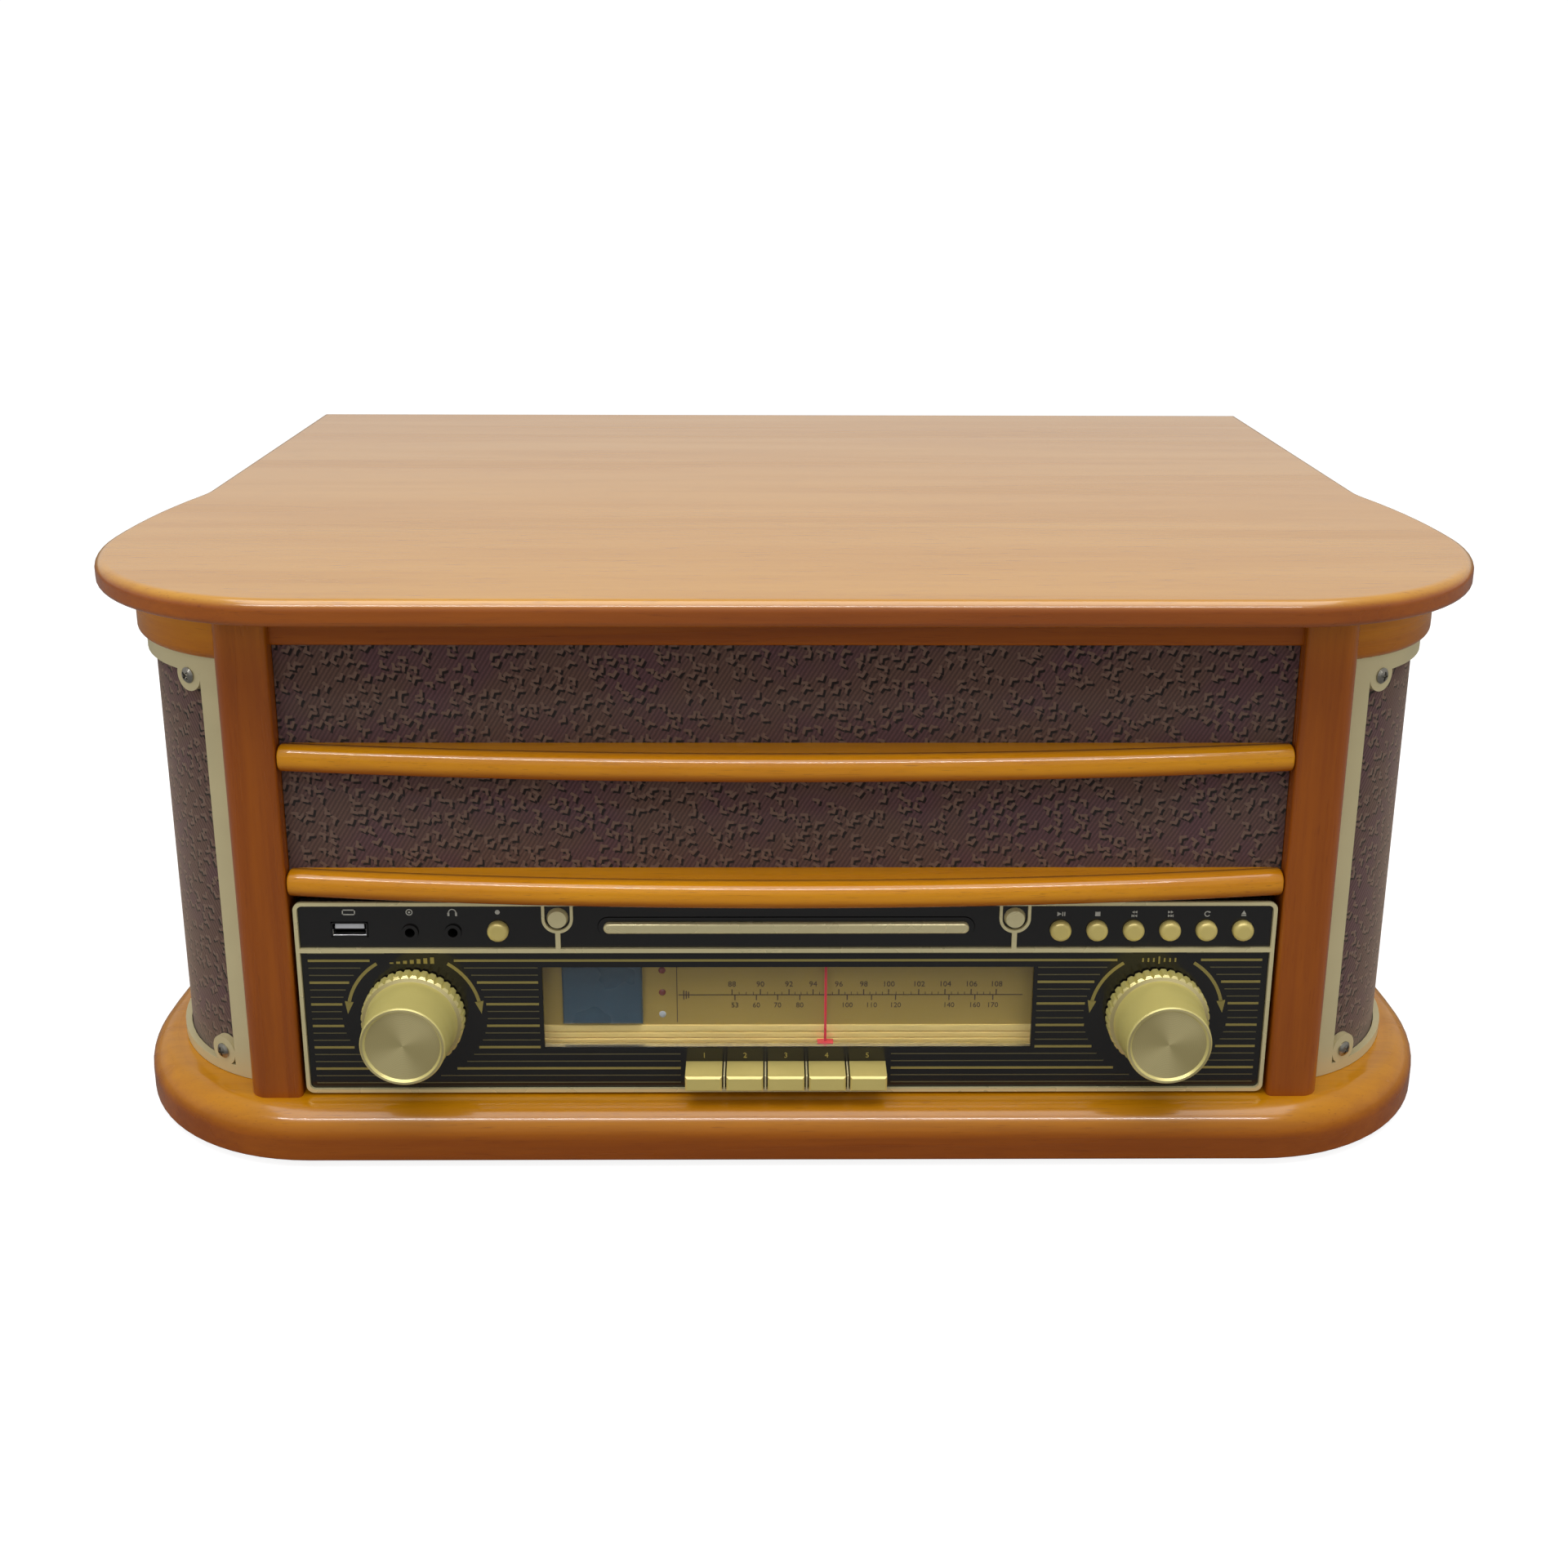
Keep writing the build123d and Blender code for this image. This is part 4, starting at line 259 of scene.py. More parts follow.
# %% Wood grain group
BAND_SHARE = 0.62
PORE_DEPTH = 0.35
wood_grain, given, results = start_group(
    "wood_grain",
    [("Vector", VECTOR), ("Light", COLOUR), ("Dark", COLOUR), ("Pore", COLOUR)],
    [("Color", COLOUR), ("Height", NUMBER), ("Gloss", NUMBER)],
)
tree = wood_grain
bands = add_noise(tree, given["Vector"], 1.0, 3.0, 0.5, 0.5)
streaks = add_noise(tree, given["Vector"], 6.0, 6.0, 0.65)
specks = add_noise(tree, given["Vector"], 26.0, 2.0)
fine_figure = add_math(tree, "MULTIPLY", add_range(tree, streaks, 0.25, 0.75), 1 - BAND_SHARE)
figure = add_math(tree, "MULTIPLY_ADD", add_range(tree, bands, 0.3, 0.7), BAND_SHARE, fine_figure)
pores = add_range(tree, specks, 0.6, 0.75, 0.0, PORE_DEPTH)
shaded = add_mix(tree, figure, given["Light"], given["Dark"])
join(tree, results, {"Color": add_mix(tree, pores, shaded, given["Pore"]),
                     "Height": add_math(tree, "SUBTRACT", streaks, pores),
                     "Gloss": add_range(tree, bands, 0.2, 0.8, 0.2, 0.3)})
print("wood grain of", len(tree.nodes), "nodes")

# %% Wood material
# Painted shade: the wood's grain tones where no light falls, on upright and lower faces.
SHADED_GRAIN_LIGHT = (0.36, 0.092, 0.005, 1)
SHADED_GRAIN_DARK = (0.25, 0.055, 0.004, 1)
WOOD_PORE = (0.14, 0.03, 0.004, 1)
UPRIGHT_COAT = 0.15


def wood_material(name, stretch, coat, specular, lit_bands, tones):
    """Lacquered wood with its grain along the axis that the stretch makes longest.

    Each lit band is the heights where a painted highlight starts, where it is full and where it
    stops; outside the bands the shaded tones paint the shade.
    """
    tree, shader = start_material(name, {"Coat Roughness": 0.1, "IOR": 1.5,
                                         "Specular IOR Level": specular})
    height = split_axes(tree, object_place(tree))["Z"]
    # level is the painted light: 1 gives the lit tones of the tops, 0 the shaded tones below.
    level = 0.0
    for start, full, stop in lit_bands:
        band = add_math(tree, "MULTIPLY", add_range(tree, height, start * MM, full * MM),
                        add_math(tree, "LESS_THAN", height, stop * MM))
        level = add_math(tree, "MAXIMUM", level, band)
    inputs = {"Vector": object_place(tree, stretch), "Pore": WOOD_PORE,
              "Light": add_mix(tree, level, SHADED_GRAIN_LIGHT, tones[0]),
              "Dark": add_mix(tree, level, SHADED_GRAIN_DARK, tones[1])}
    grain = add_node(tree, "Group", inputs, node_tree=wood_grain)
    coated = add_range(tree, level, 0.2, 1.0, UPRIGHT_COAT, coat)
    join(tree, shader, {"Base Color": grain["Color"], "Roughness": grain["Gloss"],
                        "Coat Weight": coated})
    add_bump(tree, shader, grain["Height"], 5e-5, 0.35)


print("upright wood in", SHADED_GRAIN_LIGHT[:3], "to", SHADED_GRAIN_DARK[:3])

# %% Woods of the case and the lid
# Painted light: the tones of each wood where light falls on its tops.
LIT_LID_TONES = ((0.54, 0.255, 0.020, 1), (0.45, 0.195, 0.013, 1))
LIT_GOLD_TONES = ((0.78, 0.33, 0.004, 1), (0.62, 0.225, 0.003, 1))
LIT_BASE_TONES = ((0.58, 0.24, 0.003, 1), (0.47, 0.18, 0.003, 1))
ALONG_X = (4, 90, 90)
ALONG_Z = (90, 90, 4)
AROUND = (5, 5, 90)
ALONG_LID = (3, 55, 55)
MOULDINGS = (108.1, 156.7)

base_top, case_top, lid_top = [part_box(name)[1].z / MM
                               for name in ("base_board", "front_rails", "lid_panel")]
# Heights of the painted highlight on the tops, each a start, a full height and a stop.
base_lit_band = (base_top - 11, base_top + 1, base_top + 2)
pillar_lit_band = (case_top - 30, case_top + 60, case_top + 90)
side_lit_band = (case_top - 40, case_top + 20, case_top + 90)
lid_lit_band = (lid_top - 3.2, lid_top - 0.3, lid_top + 1)
moulding_lit_bands = [(middle - 4.2, middle + 0.6, middle + 7) for middle in MOULDINGS]

# Each has its stretch, coat, specular level, painted lit bands and lit tones.
WOODS = {
    "base_wood": (ALONG_X, 0.5, 0.3, [base_lit_band], LIT_BASE_TONES),
    "amber_wood_across": (ALONG_X, 0.8, 0.2, moulding_lit_bands, LIT_GOLD_TONES),
    "amber_wood_upright": (ALONG_Z, 0.2, 0.3, [pillar_lit_band], LIT_GOLD_TONES),
    "amber_wood_side": (AROUND, 0.3, 0.3, [side_lit_band], LIT_GOLD_TONES),
    "lid_wood": (ALONG_LID, 0.8, 0.5, [lid_lit_band], LIT_LID_TONES),
}
for name, values in WOODS.items():
    wood_material(name, *values)
print("wood in", len(WOODS), "cuts")

# %% [markdown]
# Metal and plastic
#
# The frames, knobs and keys are aluminium with a champagne finish. Cast and painted parts have a
# fine grit, so one group makes that grit for metal, plastic and rubber at any size. Turned knobs
# also have rings round their axis, which a wave texture makes, and the two wedges in which their
# faces shine are painted into the colour as highlight and shade.

# %% Grit group
grit, given, results = start_group("surface_grit", [("Vector", VECTOR), ("Size", NUMBER)],
                                   [("Height", NUMBER), ("Mottle", NUMBER)])
join(grit, results, {"Height": add_noise(grit, given["Vector"], given["Size"], 4.0, 0.6),
                     "Mottle": add_noise(grit, given["Vector"], 45.0, 3.0)})
print("grit of", len(grit.nodes), "nodes")


# %% Grit material
GLOSS_SPREAD = 0.12


def grit_material(name, colour, roughness, metallic=0.0, size=900.0, depth=4e-5, shade=0.86,
                  **more):
    """Metal, plastic or rubber with a fine grit and a faint mottle in colour and gloss."""
    sockets = {"Metallic": metallic}
    sockets.update({key.replace("_", " ").title(): value for key, value in more.items()})
    tree, shader = start_material(name, sockets)
    inputs = {"Vector": object_place(tree), "Size": size}
    surface = add_node(tree, "Group", inputs, node_tree=grit)
    mottle = surface["Mottle"]
    deep = (*(channel * shade for channel in colour), 1)
    gloss = add_range(tree, mottle, 0.3, 0.7, roughness * (1 - GLOSS_SPREAD),
                      roughness * (1 + GLOSS_SPREAD))
    tint = add_mix(tree, mottle, deep, (*colour, 1))
    join(tree, shader, {"Base Color": tint, "Roughness": gloss})
    add_bump(tree, shader, surface["Height"], depth, 0.5)


print("grit material ready, its gloss within", GLOSS_SPREAD, "of the given one")

# %% Metal, plastic, card, board and ink
# Each has its colour, roughness, metallic share, grit size, grit depth and shade of the mottle.
PLAIN = {
    "frame_champagne": ((0.66, 0.57, 0.32), 0.4, 0.25, 1400),
    "trim_champagne": ((0.80, 0.71, 0.40), 0.28, 0.35, 1600, 2e-5),
    "key_champagne": ((0.71, 0.58, 0.19), 0.34, 0.2, 1800, 2e-5),
    "steel": ((0.60, 0.60, 0.60), 0.3, 1.0, 1500, 2e-5),
    "bright_aluminium": ((0.78, 0.78, 0.78), 0.24, 1.0, 1500, 1e-5),
    "brass": ((0.70, 0.48, 0.16), 0.3, 1.0, 1200, 2e-5),
    "screw_metal": ((0.36, 0.34, 0.29), 0.28, 1.0, 1500, 2e-5),
    "socket_silver": ((0.62, 0.63, 0.66), 0.35, 0.3, 1500, 1e-5),
    "copper_tape": ((0.55, 0.22, 0.08), 0.35, 1.0, 900),
    "satin_black": ((0.016, 0.016, 0.017), 0.38, 0.0, 900),
    "matte_black": ((0.022, 0.022, 0.023), 0.6, 0.0, 700, 8e-5),
    "rubber": ((0.018, 0.018, 0.018), 0.75, 0.0, 1100, 6e-5),
    "dial_card": ((0.33, 0.235, 0.055), 0.4, 0.2, 1500, 1e-5, 0.92),
    "ledge_card": ((0.88, 0.69, 0.28), 0.36, 0.3, 1500, 1e-5, 0.92),
    "pointer_red": ((0.62, 0.02, 0.05), 0.3, 0.0, 900, 1e-5),
    "inner_board": ((0.19, 0.11, 0.055), 0.7, 0.0, 500, 1e-4, 0.7),
    "back_board": ((0.035, 0.03, 0.027), 0.62, 0.0, 420, 1.2e-4, 0.75),
    "circuit_green": ((0.02, 0.12, 0.045), 0.35, 0.0, 700, 4e-5, 0.7),
    "speaker_paper": ((0.03, 0.03, 0.032), 0.8, 0.0, 350, 2e-4),
    "gold_ink": ((0.40, 0.33, 0.10), 0.38, 0.5, 1800, 1e-5),
    "dim_gold_ink": ((0.13, 0.115, 0.055), 0.42, 0.3, 1800, 1e-5),
    "pale_ink": ((0.42, 0.41, 0.36), 0.5, 0.0, 1800, 1e-5),
    "brown_ink": ((0.045, 0.022, 0.010), 0.5, 0.0, 1800, 1e-5),
    "lamp_red": ((0.16, 0.02, 0.02), 0.25, 0.0, 900, 1e-5),
    "lamp_clear": ((0.36, 0.40, 0.46), 0.2, 0.0, 900, 1e-5),
}
for name, values in PLAIN.items():
    grit_material(name, *values)
grit_material("gloss_black", (0.008, 0.0075, 0.007), 0.16, 0.0, 600, 1e-5,
              coat_weight=0.15, coat_roughness=0.05)
print(len(PLAIN) + 1, "plain finishes")

# %% Turned metal for the knobs
# Painted highlight and shade of a turned face: the turn of its two bright wedges and its tones.
HIGHLIGHT_WEDGE_TURN = 2.4
TURNED_FACE = (0.74, 0.64, 0.32, 1)
TURNED_SHADE_AND_RINGS = (0.42, 0.35, 0.15, 1)
TURNED_BODY = (0.68, 0.60, 0.20, 1)


def turned_material(name, centre):
    """Metal turned on a lathe: fine rings round an axis that runs front to back.

    Such a face shines in two opposite wedges, and this is a painted highlight: the angle round the
    axis moves the tone from the face's colour to a painted shade. The round body is satin and
    brighter, and the object's own normal tells it from the face.
    """
    tree, shader = start_material(name, {"Anisotropic": 0.5})
    around = object_place(tree, shift=(-centre[0], 0, -centre[2]))
    normal = add_node(tree, "TexCoord")["Normal"]
    facing = add_math(tree, "ABSOLUTE", split_axes(tree, normal)["Y"])
    face_mask = add_range(tree, facing, 0.5, 0.9)
    inputs = {"Vector": around, "Scale": 620.0, "Distortion": 0.6, "Detail": 2.0,
              "Detail Scale": 0.4}
    rings = add_node(tree, "TexWave", inputs, wave_type="RINGS", rings_direction="Y")[1]
    # A painted highlight in two opposite wedges round the axis, and painted shade between them.
    axes = split_axes(tree, around)
    angle = add_math(tree, "ARCTAN2", axes["Z"], axes["X"])
    wedge = add_math(tree, "SINE", add_math(tree, "MULTIPLY_ADD", angle, 2.0, HIGHLIGHT_WEDGE_TURN))
    shade = add_range(tree, wedge, -1.0, 1.0, 0.0, 0.8)
    tone = add_mix(tree, shade, TURNED_FACE, TURNED_SHADE_AND_RINGS)
    ringed = add_mix(tree, add_range(tree, rings, 0, 1, 0.0, 0.35), tone, TURNED_SHADE_AND_RINGS)
    tangent = add_node(tree, "Tangent", direction_type="RADIAL", axis="Y")[0]
    join(tree, shader, {"Metallic": add_range(tree, face_mask, 0.0, 1.0, 0.2, 0.55),
                        "Base Color": add_mix(tree, face_mask, TURNED_BODY, ringed),
                        "Roughness": add_range(tree, rings, 0, 1, 0.28, 0.4),
                        "Tangent": tangent})
    add_bump(tree, shader, rings, 3e-5, 0.4)


def middle_of(node):
    """The middle of a node's box."""
    low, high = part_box(node)
    return (low + high) / 2


for name in ("volume_knob", "tuning_knob"):
    turned_material(name + "_metal", middle_of(name))
    print(name, "turns round", [round(x, 4) for x in middle_of(name)])

# %% [markdown]
# Glass
#
# The dial window is clear plastic. Light that passes through real glass is slow to work out, so
# shadow rays see it as fully clear, and camera rays see a smooth transmitting shader. The display
# is a dark blue-grey panel under a gloss coat: it is switched off in the photograph.

# %% Window and display
sockets = {"Base Color": (0.97, 0.96, 0.92, 1), "Roughness": 0.03, "IOR": 1.45,
           "Transmission Weight": 1.0}
tree, glass_shader = start_material("window_glass", sockets)
clear = add_node(tree, "BsdfTransparent")[0]
ray = add_node(tree, "LightPath")["Is Shadow Ray"]
blend = add_node(tree, "MixShader", {0: ray, 1: glass_shader.outputs[0], 2: clear})
join(tree, tree.nodes["Material Output"], {"Surface": blend[0]})
grit_material("display_glass", (0.020, 0.050, 0.082), 0.3, 0.0, 800, 1e-5, 0.96,
              coat_weight=0.3, coat_roughness=0.08)
print("glass ready")

# %% [markdown]
# Speaker cloth
#
# The cloth is a brown twill with small raised flecks, each one a bent stroke like a tick. The
# weave is read from the cloth's own UV map, measured in millimetres, so it follows the curved
# sides. A Voronoi texture scatters points; round each point the coordinates are turned by a
# random angle, and two crossing bars make the tick. The same mask read a little to one side gives
# the shadow that the fleck throws.

# %% Fleck mask group
FLECK_PITCH = 4.6
SOFT_EDGE = 0.12
FIRST_BAR = (0.6, 1.45, 0.55)
SECOND_BAR = (0.75, 1.35, 0.55)
BAR_SLANT = 0.35
MISSING_SHARE = 0.12
fleck_mask, given, results = start_group("fleck_mask", [("Vector", VECTOR)], [("Mask", NUMBER)])
tree = fleck_mask
inputs = {"Vector": given["Vector"], "Scale": 1 / FLECK_PITCH, "Randomness": 0.85}
scatter = add_node(tree, "TexVoronoi", inputs, voronoi_dimensions="2D")
inputs = {0: given["Vector"], 1: scatter["Position"]}
local = add_node(tree, "VectorMath", inputs, operation="SUBTRACT")[0]
chance = add_node(tree, "SeparateColor", {0: scatter["Color"]})
quarter = add_math(tree, "ROUND", add_math(tree, "MULTIPLY", chance[0], 4.0))
turn = add_math(tree, "MULTIPLY_ADD", quarter, math.pi / 2,
                add_math(tree, "MULTIPLY", chance[1], 0.7))
inputs = {"Vector": local, "Angle": turn}
turned = add_node(tree, "VectorRotate", inputs, rotation_type="Z_AXIS")[0]
axes = split_axes(tree, turned)


def bar_mask(tree, along, across, middle, half_length, half_width):
    """A soft-edged bar in the two local coordinates."""
    end = add_math(tree, "ABSOLUTE", add_math(tree, "SUBTRACT", along, middle))
    side = add_math(tree, "ABSOLUTE", across)
    inside_ends = add_range(tree, end, half_length + SOFT_EDGE, half_length - SOFT_EDGE)
    inside_sides = add_range(tree, side, half_width + SOFT_EDGE, half_width - SOFT_EDGE)
    return add_math(tree, "MULTIPLY", inside_ends, inside_sides)


first_bar = bar_mask(tree, axes["X"], axes["Y"], *FIRST_BAR)
slanted = add_math(tree, "MULTIPLY_ADD", axes["Y"], BAR_SLANT, axes["X"])
second_bar = bar_mask(tree, axes["Y"], slanted, *SECOND_BAR)
joined = add_math(tree, "MAXIMUM", first_bar, second_bar)
present = add_math(tree, "GREATER_THAN", chance[2], MISSING_SHARE)
join(tree, results, {"Mask": add_math(tree, "MULTIPLY", joined, present)})
print("flecks every", FLECK_PITCH, "mm")

# %% Cloth material
SHADOW_SHIFT = (-0.75, 0.95, 0)
SHADOW_DEPTH = 0.97
TWILL_ANGLE = math.radians(32)
TWILL_RELIEF = 0.3
GROUND = (0.165, 0.086, 0.064, 1)
MAUVE = (0.150, 0.066, 0.075, 1)
FLECK = (0.150, 0.088, 0.064, 1)
FLECK_SHADOW = (0.006, 0.003, 0.0025, 1)
SHEEN = {"Sheen Weight": 0.35, "Sheen Roughness": 0.45, "Sheen Tint": (0.86, 0.70, 0.54, 1)}

tree, shader = start_material("fleck_cloth", {**SHEEN, "Roughness": 0.82, "IOR": 1.4})
weave_place = add_node(tree, "UVMap", uv_map="weave")[0]
inputs = {0: weave_place, 1: SHADOW_SHIFT}
beside = add_node(tree, "VectorMath", inputs, operation="ADD")[0]
raised = add_node(tree, "Group", {0: weave_place}, node_tree=fleck_mask)[0]
thrown = add_node(tree, "Group", {0: beside}, node_tree=fleck_mask)[0]
inputs = {"Vector": weave_place, "Rotation": (0, 0, TWILL_ANGLE)}
inputs = {"Vector": add_node(tree, "Mapping", inputs)[0], "Scale": 0.22, "Distortion": 1.1,
          "Detail": 2.0, "Detail Scale": 2.2}
twill = add_node(tree, "TexWave", inputs, wave_type="BANDS", bands_direction="X")[1]
threads = add_noise(tree, weave_place, 1.9, 2.0)
patches = add_noise(tree, weave_place, 0.035, 2.0)
field = add_mix(tree, add_range(tree, patches, 0.4, 0.65), GROUND, MAUVE)
dark_field = add_mix(tree, 0.62, field, FLECK_SHADOW)
woven = add_mix(tree, add_math(tree, "MULTIPLY", twill, threads), dark_field, field)
shadowed = add_mix(tree, add_math(tree, "MULTIPLY", thrown, SHADOW_DEPTH), woven, FLECK_SHADOW)
join(tree, shader, {"Base Color": add_mix(tree, raised, shadowed, FLECK)})
add_bump(tree, shader, add_math(tree, "MULTIPLY_ADD", twill, TWILL_RELIEF, raised), 3e-4, 0.6)
print("cloth ready")

# %% [markdown]
# Give each CAD piece its material
#
# A CAD node keeps its shape, and only its material slots change. One table says which finish
# each piece has, so nothing is left with a plain colour.

# %% Dress the CAD nodes
FINISHES = {
    "base_wood": "base_board",
    "amber_wood_across": "front_rails",
    "amber_wood_upright": "front_pillars",
    "amber_wood_side": "left_side right_side",
    "lid_wood": "lid_panel",
    "rubber": "rubber_feet drive_belt platter_mat",
    "fleck_cloth": "speaker_cloths",
    "frame_champagne": "speaker_frames",
    "trim_champagne": "fascia_trim speed_selector drawer_bar",
    "steel": "panel_screws motor counterweight",
    "bright_aluminium": "spindle arm_yoke tonearm",
    "brass": "case_hardware lid_hardware lid_stay motor_pulley",
    "copper_tape": "transformer",
    "speaker_paper": "speakers",
    "inner_board": "front_grille",
    "back_board": "back_panel",
    "circuit_green": "circuit_boards",
    "gloss_black": "fascia front_sockets disc_drawer",
    "matte_black": "switch_bank disc_mechanism lift_bar",
    "satin_black": "deck_plate arm_base rear_sockets platter headshell rest_clip cue_lever",
    "window_glass": "dial_window",
    "dial_card": "dial_plate",
    "display_glass": "display",
    "pointer_red": "dial_pointer",
    "volume_knob_metal": "volume_knob",
    "tuning_knob_metal": "tuning_knob",
}
finish_of = {name: finish for finish, names in FINISHES.items() for name in names.split()}
for name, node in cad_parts.items():
    node.data.materials.clear()
    node.data.materials.append(materials[finish_of.get(name, "key_champagne")])
key_count = len(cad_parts) - len(finish_of)
print("dressed", len(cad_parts), "nodes;", key_count, "are buttons and keys")


# %% [markdown]
# Making new pieces
#
# New pieces start as a bmesh, are shaped with its operators and end as an object at the origin
# that rides on one of the frame's bodies. Thin prints are real plates, a tenth of a millimetre
# proud, because the finished meshes are kept as well as the picture.

# %% Piece helpers
def mesh_of(name, bm):
    """A mesh made from a bmesh, which is freed."""
    mesh = bpy.data.meshes.new(name)
    bm.to_mesh(mesh)
    bm.free()
    return mesh


def new_piece(name, bm, material, body="case"):
    """An object from a bmesh and a material's name, at the origin, riding on a body."""
    mesh = mesh_of(name, bm)
    mesh.materials.append(materials[material])
    piece = put_in_scene(name, mesh)
    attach(piece, body)
    print(name, "has", len(mesh.polygons), "faces")
    return piece


def smooth_all(bm):
    """Every face shaded smooth."""
    for face in bm.faces:
        face.smooth = True


print("piece helpers ready")

# %% [markdown]
# The side cloths
#
# Each side cloth is one sheet stretched behind its metal frame, round the case's corner and on
# along the swell. A single upright line, spun first round the corner's centre and then round the
# far larger swell's centre, makes exactly that, and the distance along the two arcs is its U.

# %% Cloth sizes
CORNER = Vector((183.0, -88.0)) * MM
CORNER_RADIUS = 62.0 * MM
SWELL_RADIUS = 282.0 * MM
CLOTH_INSET = 2.75 * MM
CLOTH_THICKNESS = 0.5 * MM
PILLAR_CLEARANCE = 1.1 * MM
cloth_low, cloth_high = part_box("speaker_cloths")
corner_reach = CORNER_RADIUS - CLOTH_INSET
swell_reach = SWELL_RADIUS - CLOTH_INSET
swell_centre = Vector((CORNER.x + CORNER_RADIUS - SWELL_RADIUS, CORNER.y))
cloth_start_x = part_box("front_pillars")[1].x + PILLAR_CLEARANCE
corner_sweep = math.acos((cloth_start_x - CORNER.x) / corner_reach)
swell_sweep = math.asin((cloth_high.y - CORNER.y) / swell_reach)


# %% Cloth helpers
def measure_cloth(vert):
    """The distance along the two arcs and the height, in millimetres."""
    x, y, z = abs(vert.co.x), vert.co.y, vert.co.z
    if y <= CORNER.y:
        along = corner_reach * (math.atan2(y - CORNER.y, x - CORNER.x) + corner_sweep)
    else:
        turned_by = math.atan2(y - CORNER.y, x - swell_centre.x)
        along = corner_reach * corner_sweep + swell_reach * turned_by
    return along / MM, (z - cloth_low.z) / MM


def add_weave(bm, measure, shift):
    """A UV map in millimetres, from each corner's place, with its U shifted."""
    layer = bm.loops.layers.uv.new("weave")
    for face in bm.faces:
        for loop in face.loops:
            u, v = measure(loop.vert)
            loop[layer].uv = (u + shift, v)


def thicken_cloth(piece):
    """A sheet's thickness, added behind its face."""
    wall = piece.modifiers.new("cloth_thickness", "SOLIDIFY")
    wall.thickness = CLOTH_THICKNESS
    wall.offset = -1


print("cloth", round(CLOTH_THICKNESS / MM, 2), "mm thick")

# %% Side cloths
LINE_CUTS = 11
CORNER_STEPS = 36
SWELL_STEPS = 12
RIGHT_SHIFT = 400


def make_side_cloth(name, side, shift):
    """One side's cloth, with its weave measured along the sheet."""
    bm = bmesh.new()
    start = (cloth_start_x, CORNER.y - corner_reach * math.sin(corner_sweep))
    line = bm.edges.new([bm.verts.new((*start, height)) for height in (cloth_low.z, cloth_high.z)])
    bmesh.ops.subdivide_edges(bm, edges=[line], cuts=LINE_CUTS)
    made = bmesh.ops.spin(bm, geom=bm.verts[:] + bm.edges[:], cent=(*CORNER, 0), axis=(0, 0, 1),
                          angle=corner_sweep, steps=CORNER_STEPS)
    bmesh.ops.spin(bm, geom=made["geom_last"], cent=(*swell_centre, 0), axis=(0, 0, 1),
                   angle=swell_sweep, steps=SWELL_STEPS)
    if side < 0:
        bmesh.ops.scale(bm, vec=(-1, 1, 1), verts=bm.verts[:])
    bmesh.ops.remove_doubles(bm, verts=bm.verts[:], dist=1e-6)
    bmesh.ops.recalc_face_normals(bm, faces=bm.faces[:])
    if sum(face.normal.x * side for face in bm.faces) < 0:
        bmesh.ops.reverse_faces(bm, faces=bm.faces[:])
    add_weave(bm, measure_cloth, shift)
    smooth_all(bm)
    piece = new_piece(name, bm, "fleck_cloth")
    thicken_cloth(piece)
    return piece


left_cloth = make_side_cloth("left_cloth", -1, 0)
make_side_cloth("right_cloth", 1, RIGHT_SHIFT)
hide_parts("speaker_cloths")

# %% [markdown]
# The front cloth
#
# Behind the two bowed mouldings a board is covered with one flat sheet of the same cloth. A grid,
# turned upright, is all it needs; the mouldings cover it where they cross.

# %% Front cloth
FRONT_SHIFT = 800
STAND_UP = Matrix.Rotation(math.radians(90), 4, "X")
board_low, board_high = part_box("front_grille")
front_width = board_high.x - board_low.x
front_height = board_high.z - board_low.z
front_place = (0, board_low.y - CLOTH_THICKNESS, (board_low.z + board_high.z) / 2)
bm = bmesh.new()
place = (Matrix.Translation(front_place) @ STAND_UP
         @ Matrix.Diagonal((front_width, front_height, 1, 1)))
bmesh.ops.create_grid(bm, x_segments=36, y_segments=10, size=0.5, matrix=place)
add_weave(bm, lambda vert: (vert.co.x / MM, vert.co.z / MM), FRONT_SHIFT)
front_cloth = new_piece("front_cloth", bm, "fleck_cloth")
thicken_cloth(front_cloth)
print("front cloth", round(front_width, 4), "by", round(front_height, 4), "m flat")

# %% [markdown]
# The moulding faces
#
# The two mouldings across the cloth are rounded like a thumb and bow forward a little. A skin a
# tenth of a millimetre proud gives their lacquer an even curve: a small rectangle with its two
# front corners rounded is spun round the bow's far centre, from one end to the other.

# %% Bow of the mouldings
BOW_FRONT = -168.5
BOW_END_X = 181.3
BOW_RISE = 10.5
MOULDING_HEIGHT = 9.8
MOULDING_ROUNDING = 3.9
SKIN = 0.12
NOSE_DEPTH = 5.4
END_ROUNDING = 0.9
bow_reach = (BOW_END_X ** 2 + BOW_RISE ** 2) / (2 * BOW_RISE)
bow_centre = (0, (BOW_FRONT + bow_reach) * MM, 0)
bow_half = math.asin(BOW_END_X / bow_reach)
bow_degrees = round(math.degrees(2 * bow_half), 1)
print("bow of", round(bow_reach), "mm radius, through", bow_degrees, "degrees")


# %% Shape helpers
def close_shape(bm):
    """Doubles merged and faces turned outwards."""
    bmesh.ops.remove_doubles(bm, verts=bm.verts[:], dist=1e-7)
    bmesh.ops.recalc_face_normals(bm, faces=bm.faces[:])


def round_off(bm, geom, radius, segments, affect="EDGES"):
    """Edges or corners rounded, with the radius in millimetres."""
    bmesh.ops.bevel(bm, geom=geom, offset=radius * MM, affect=affect, segments=segments,
                    profile=0.5, material=-1)


print("shape helpers ready")


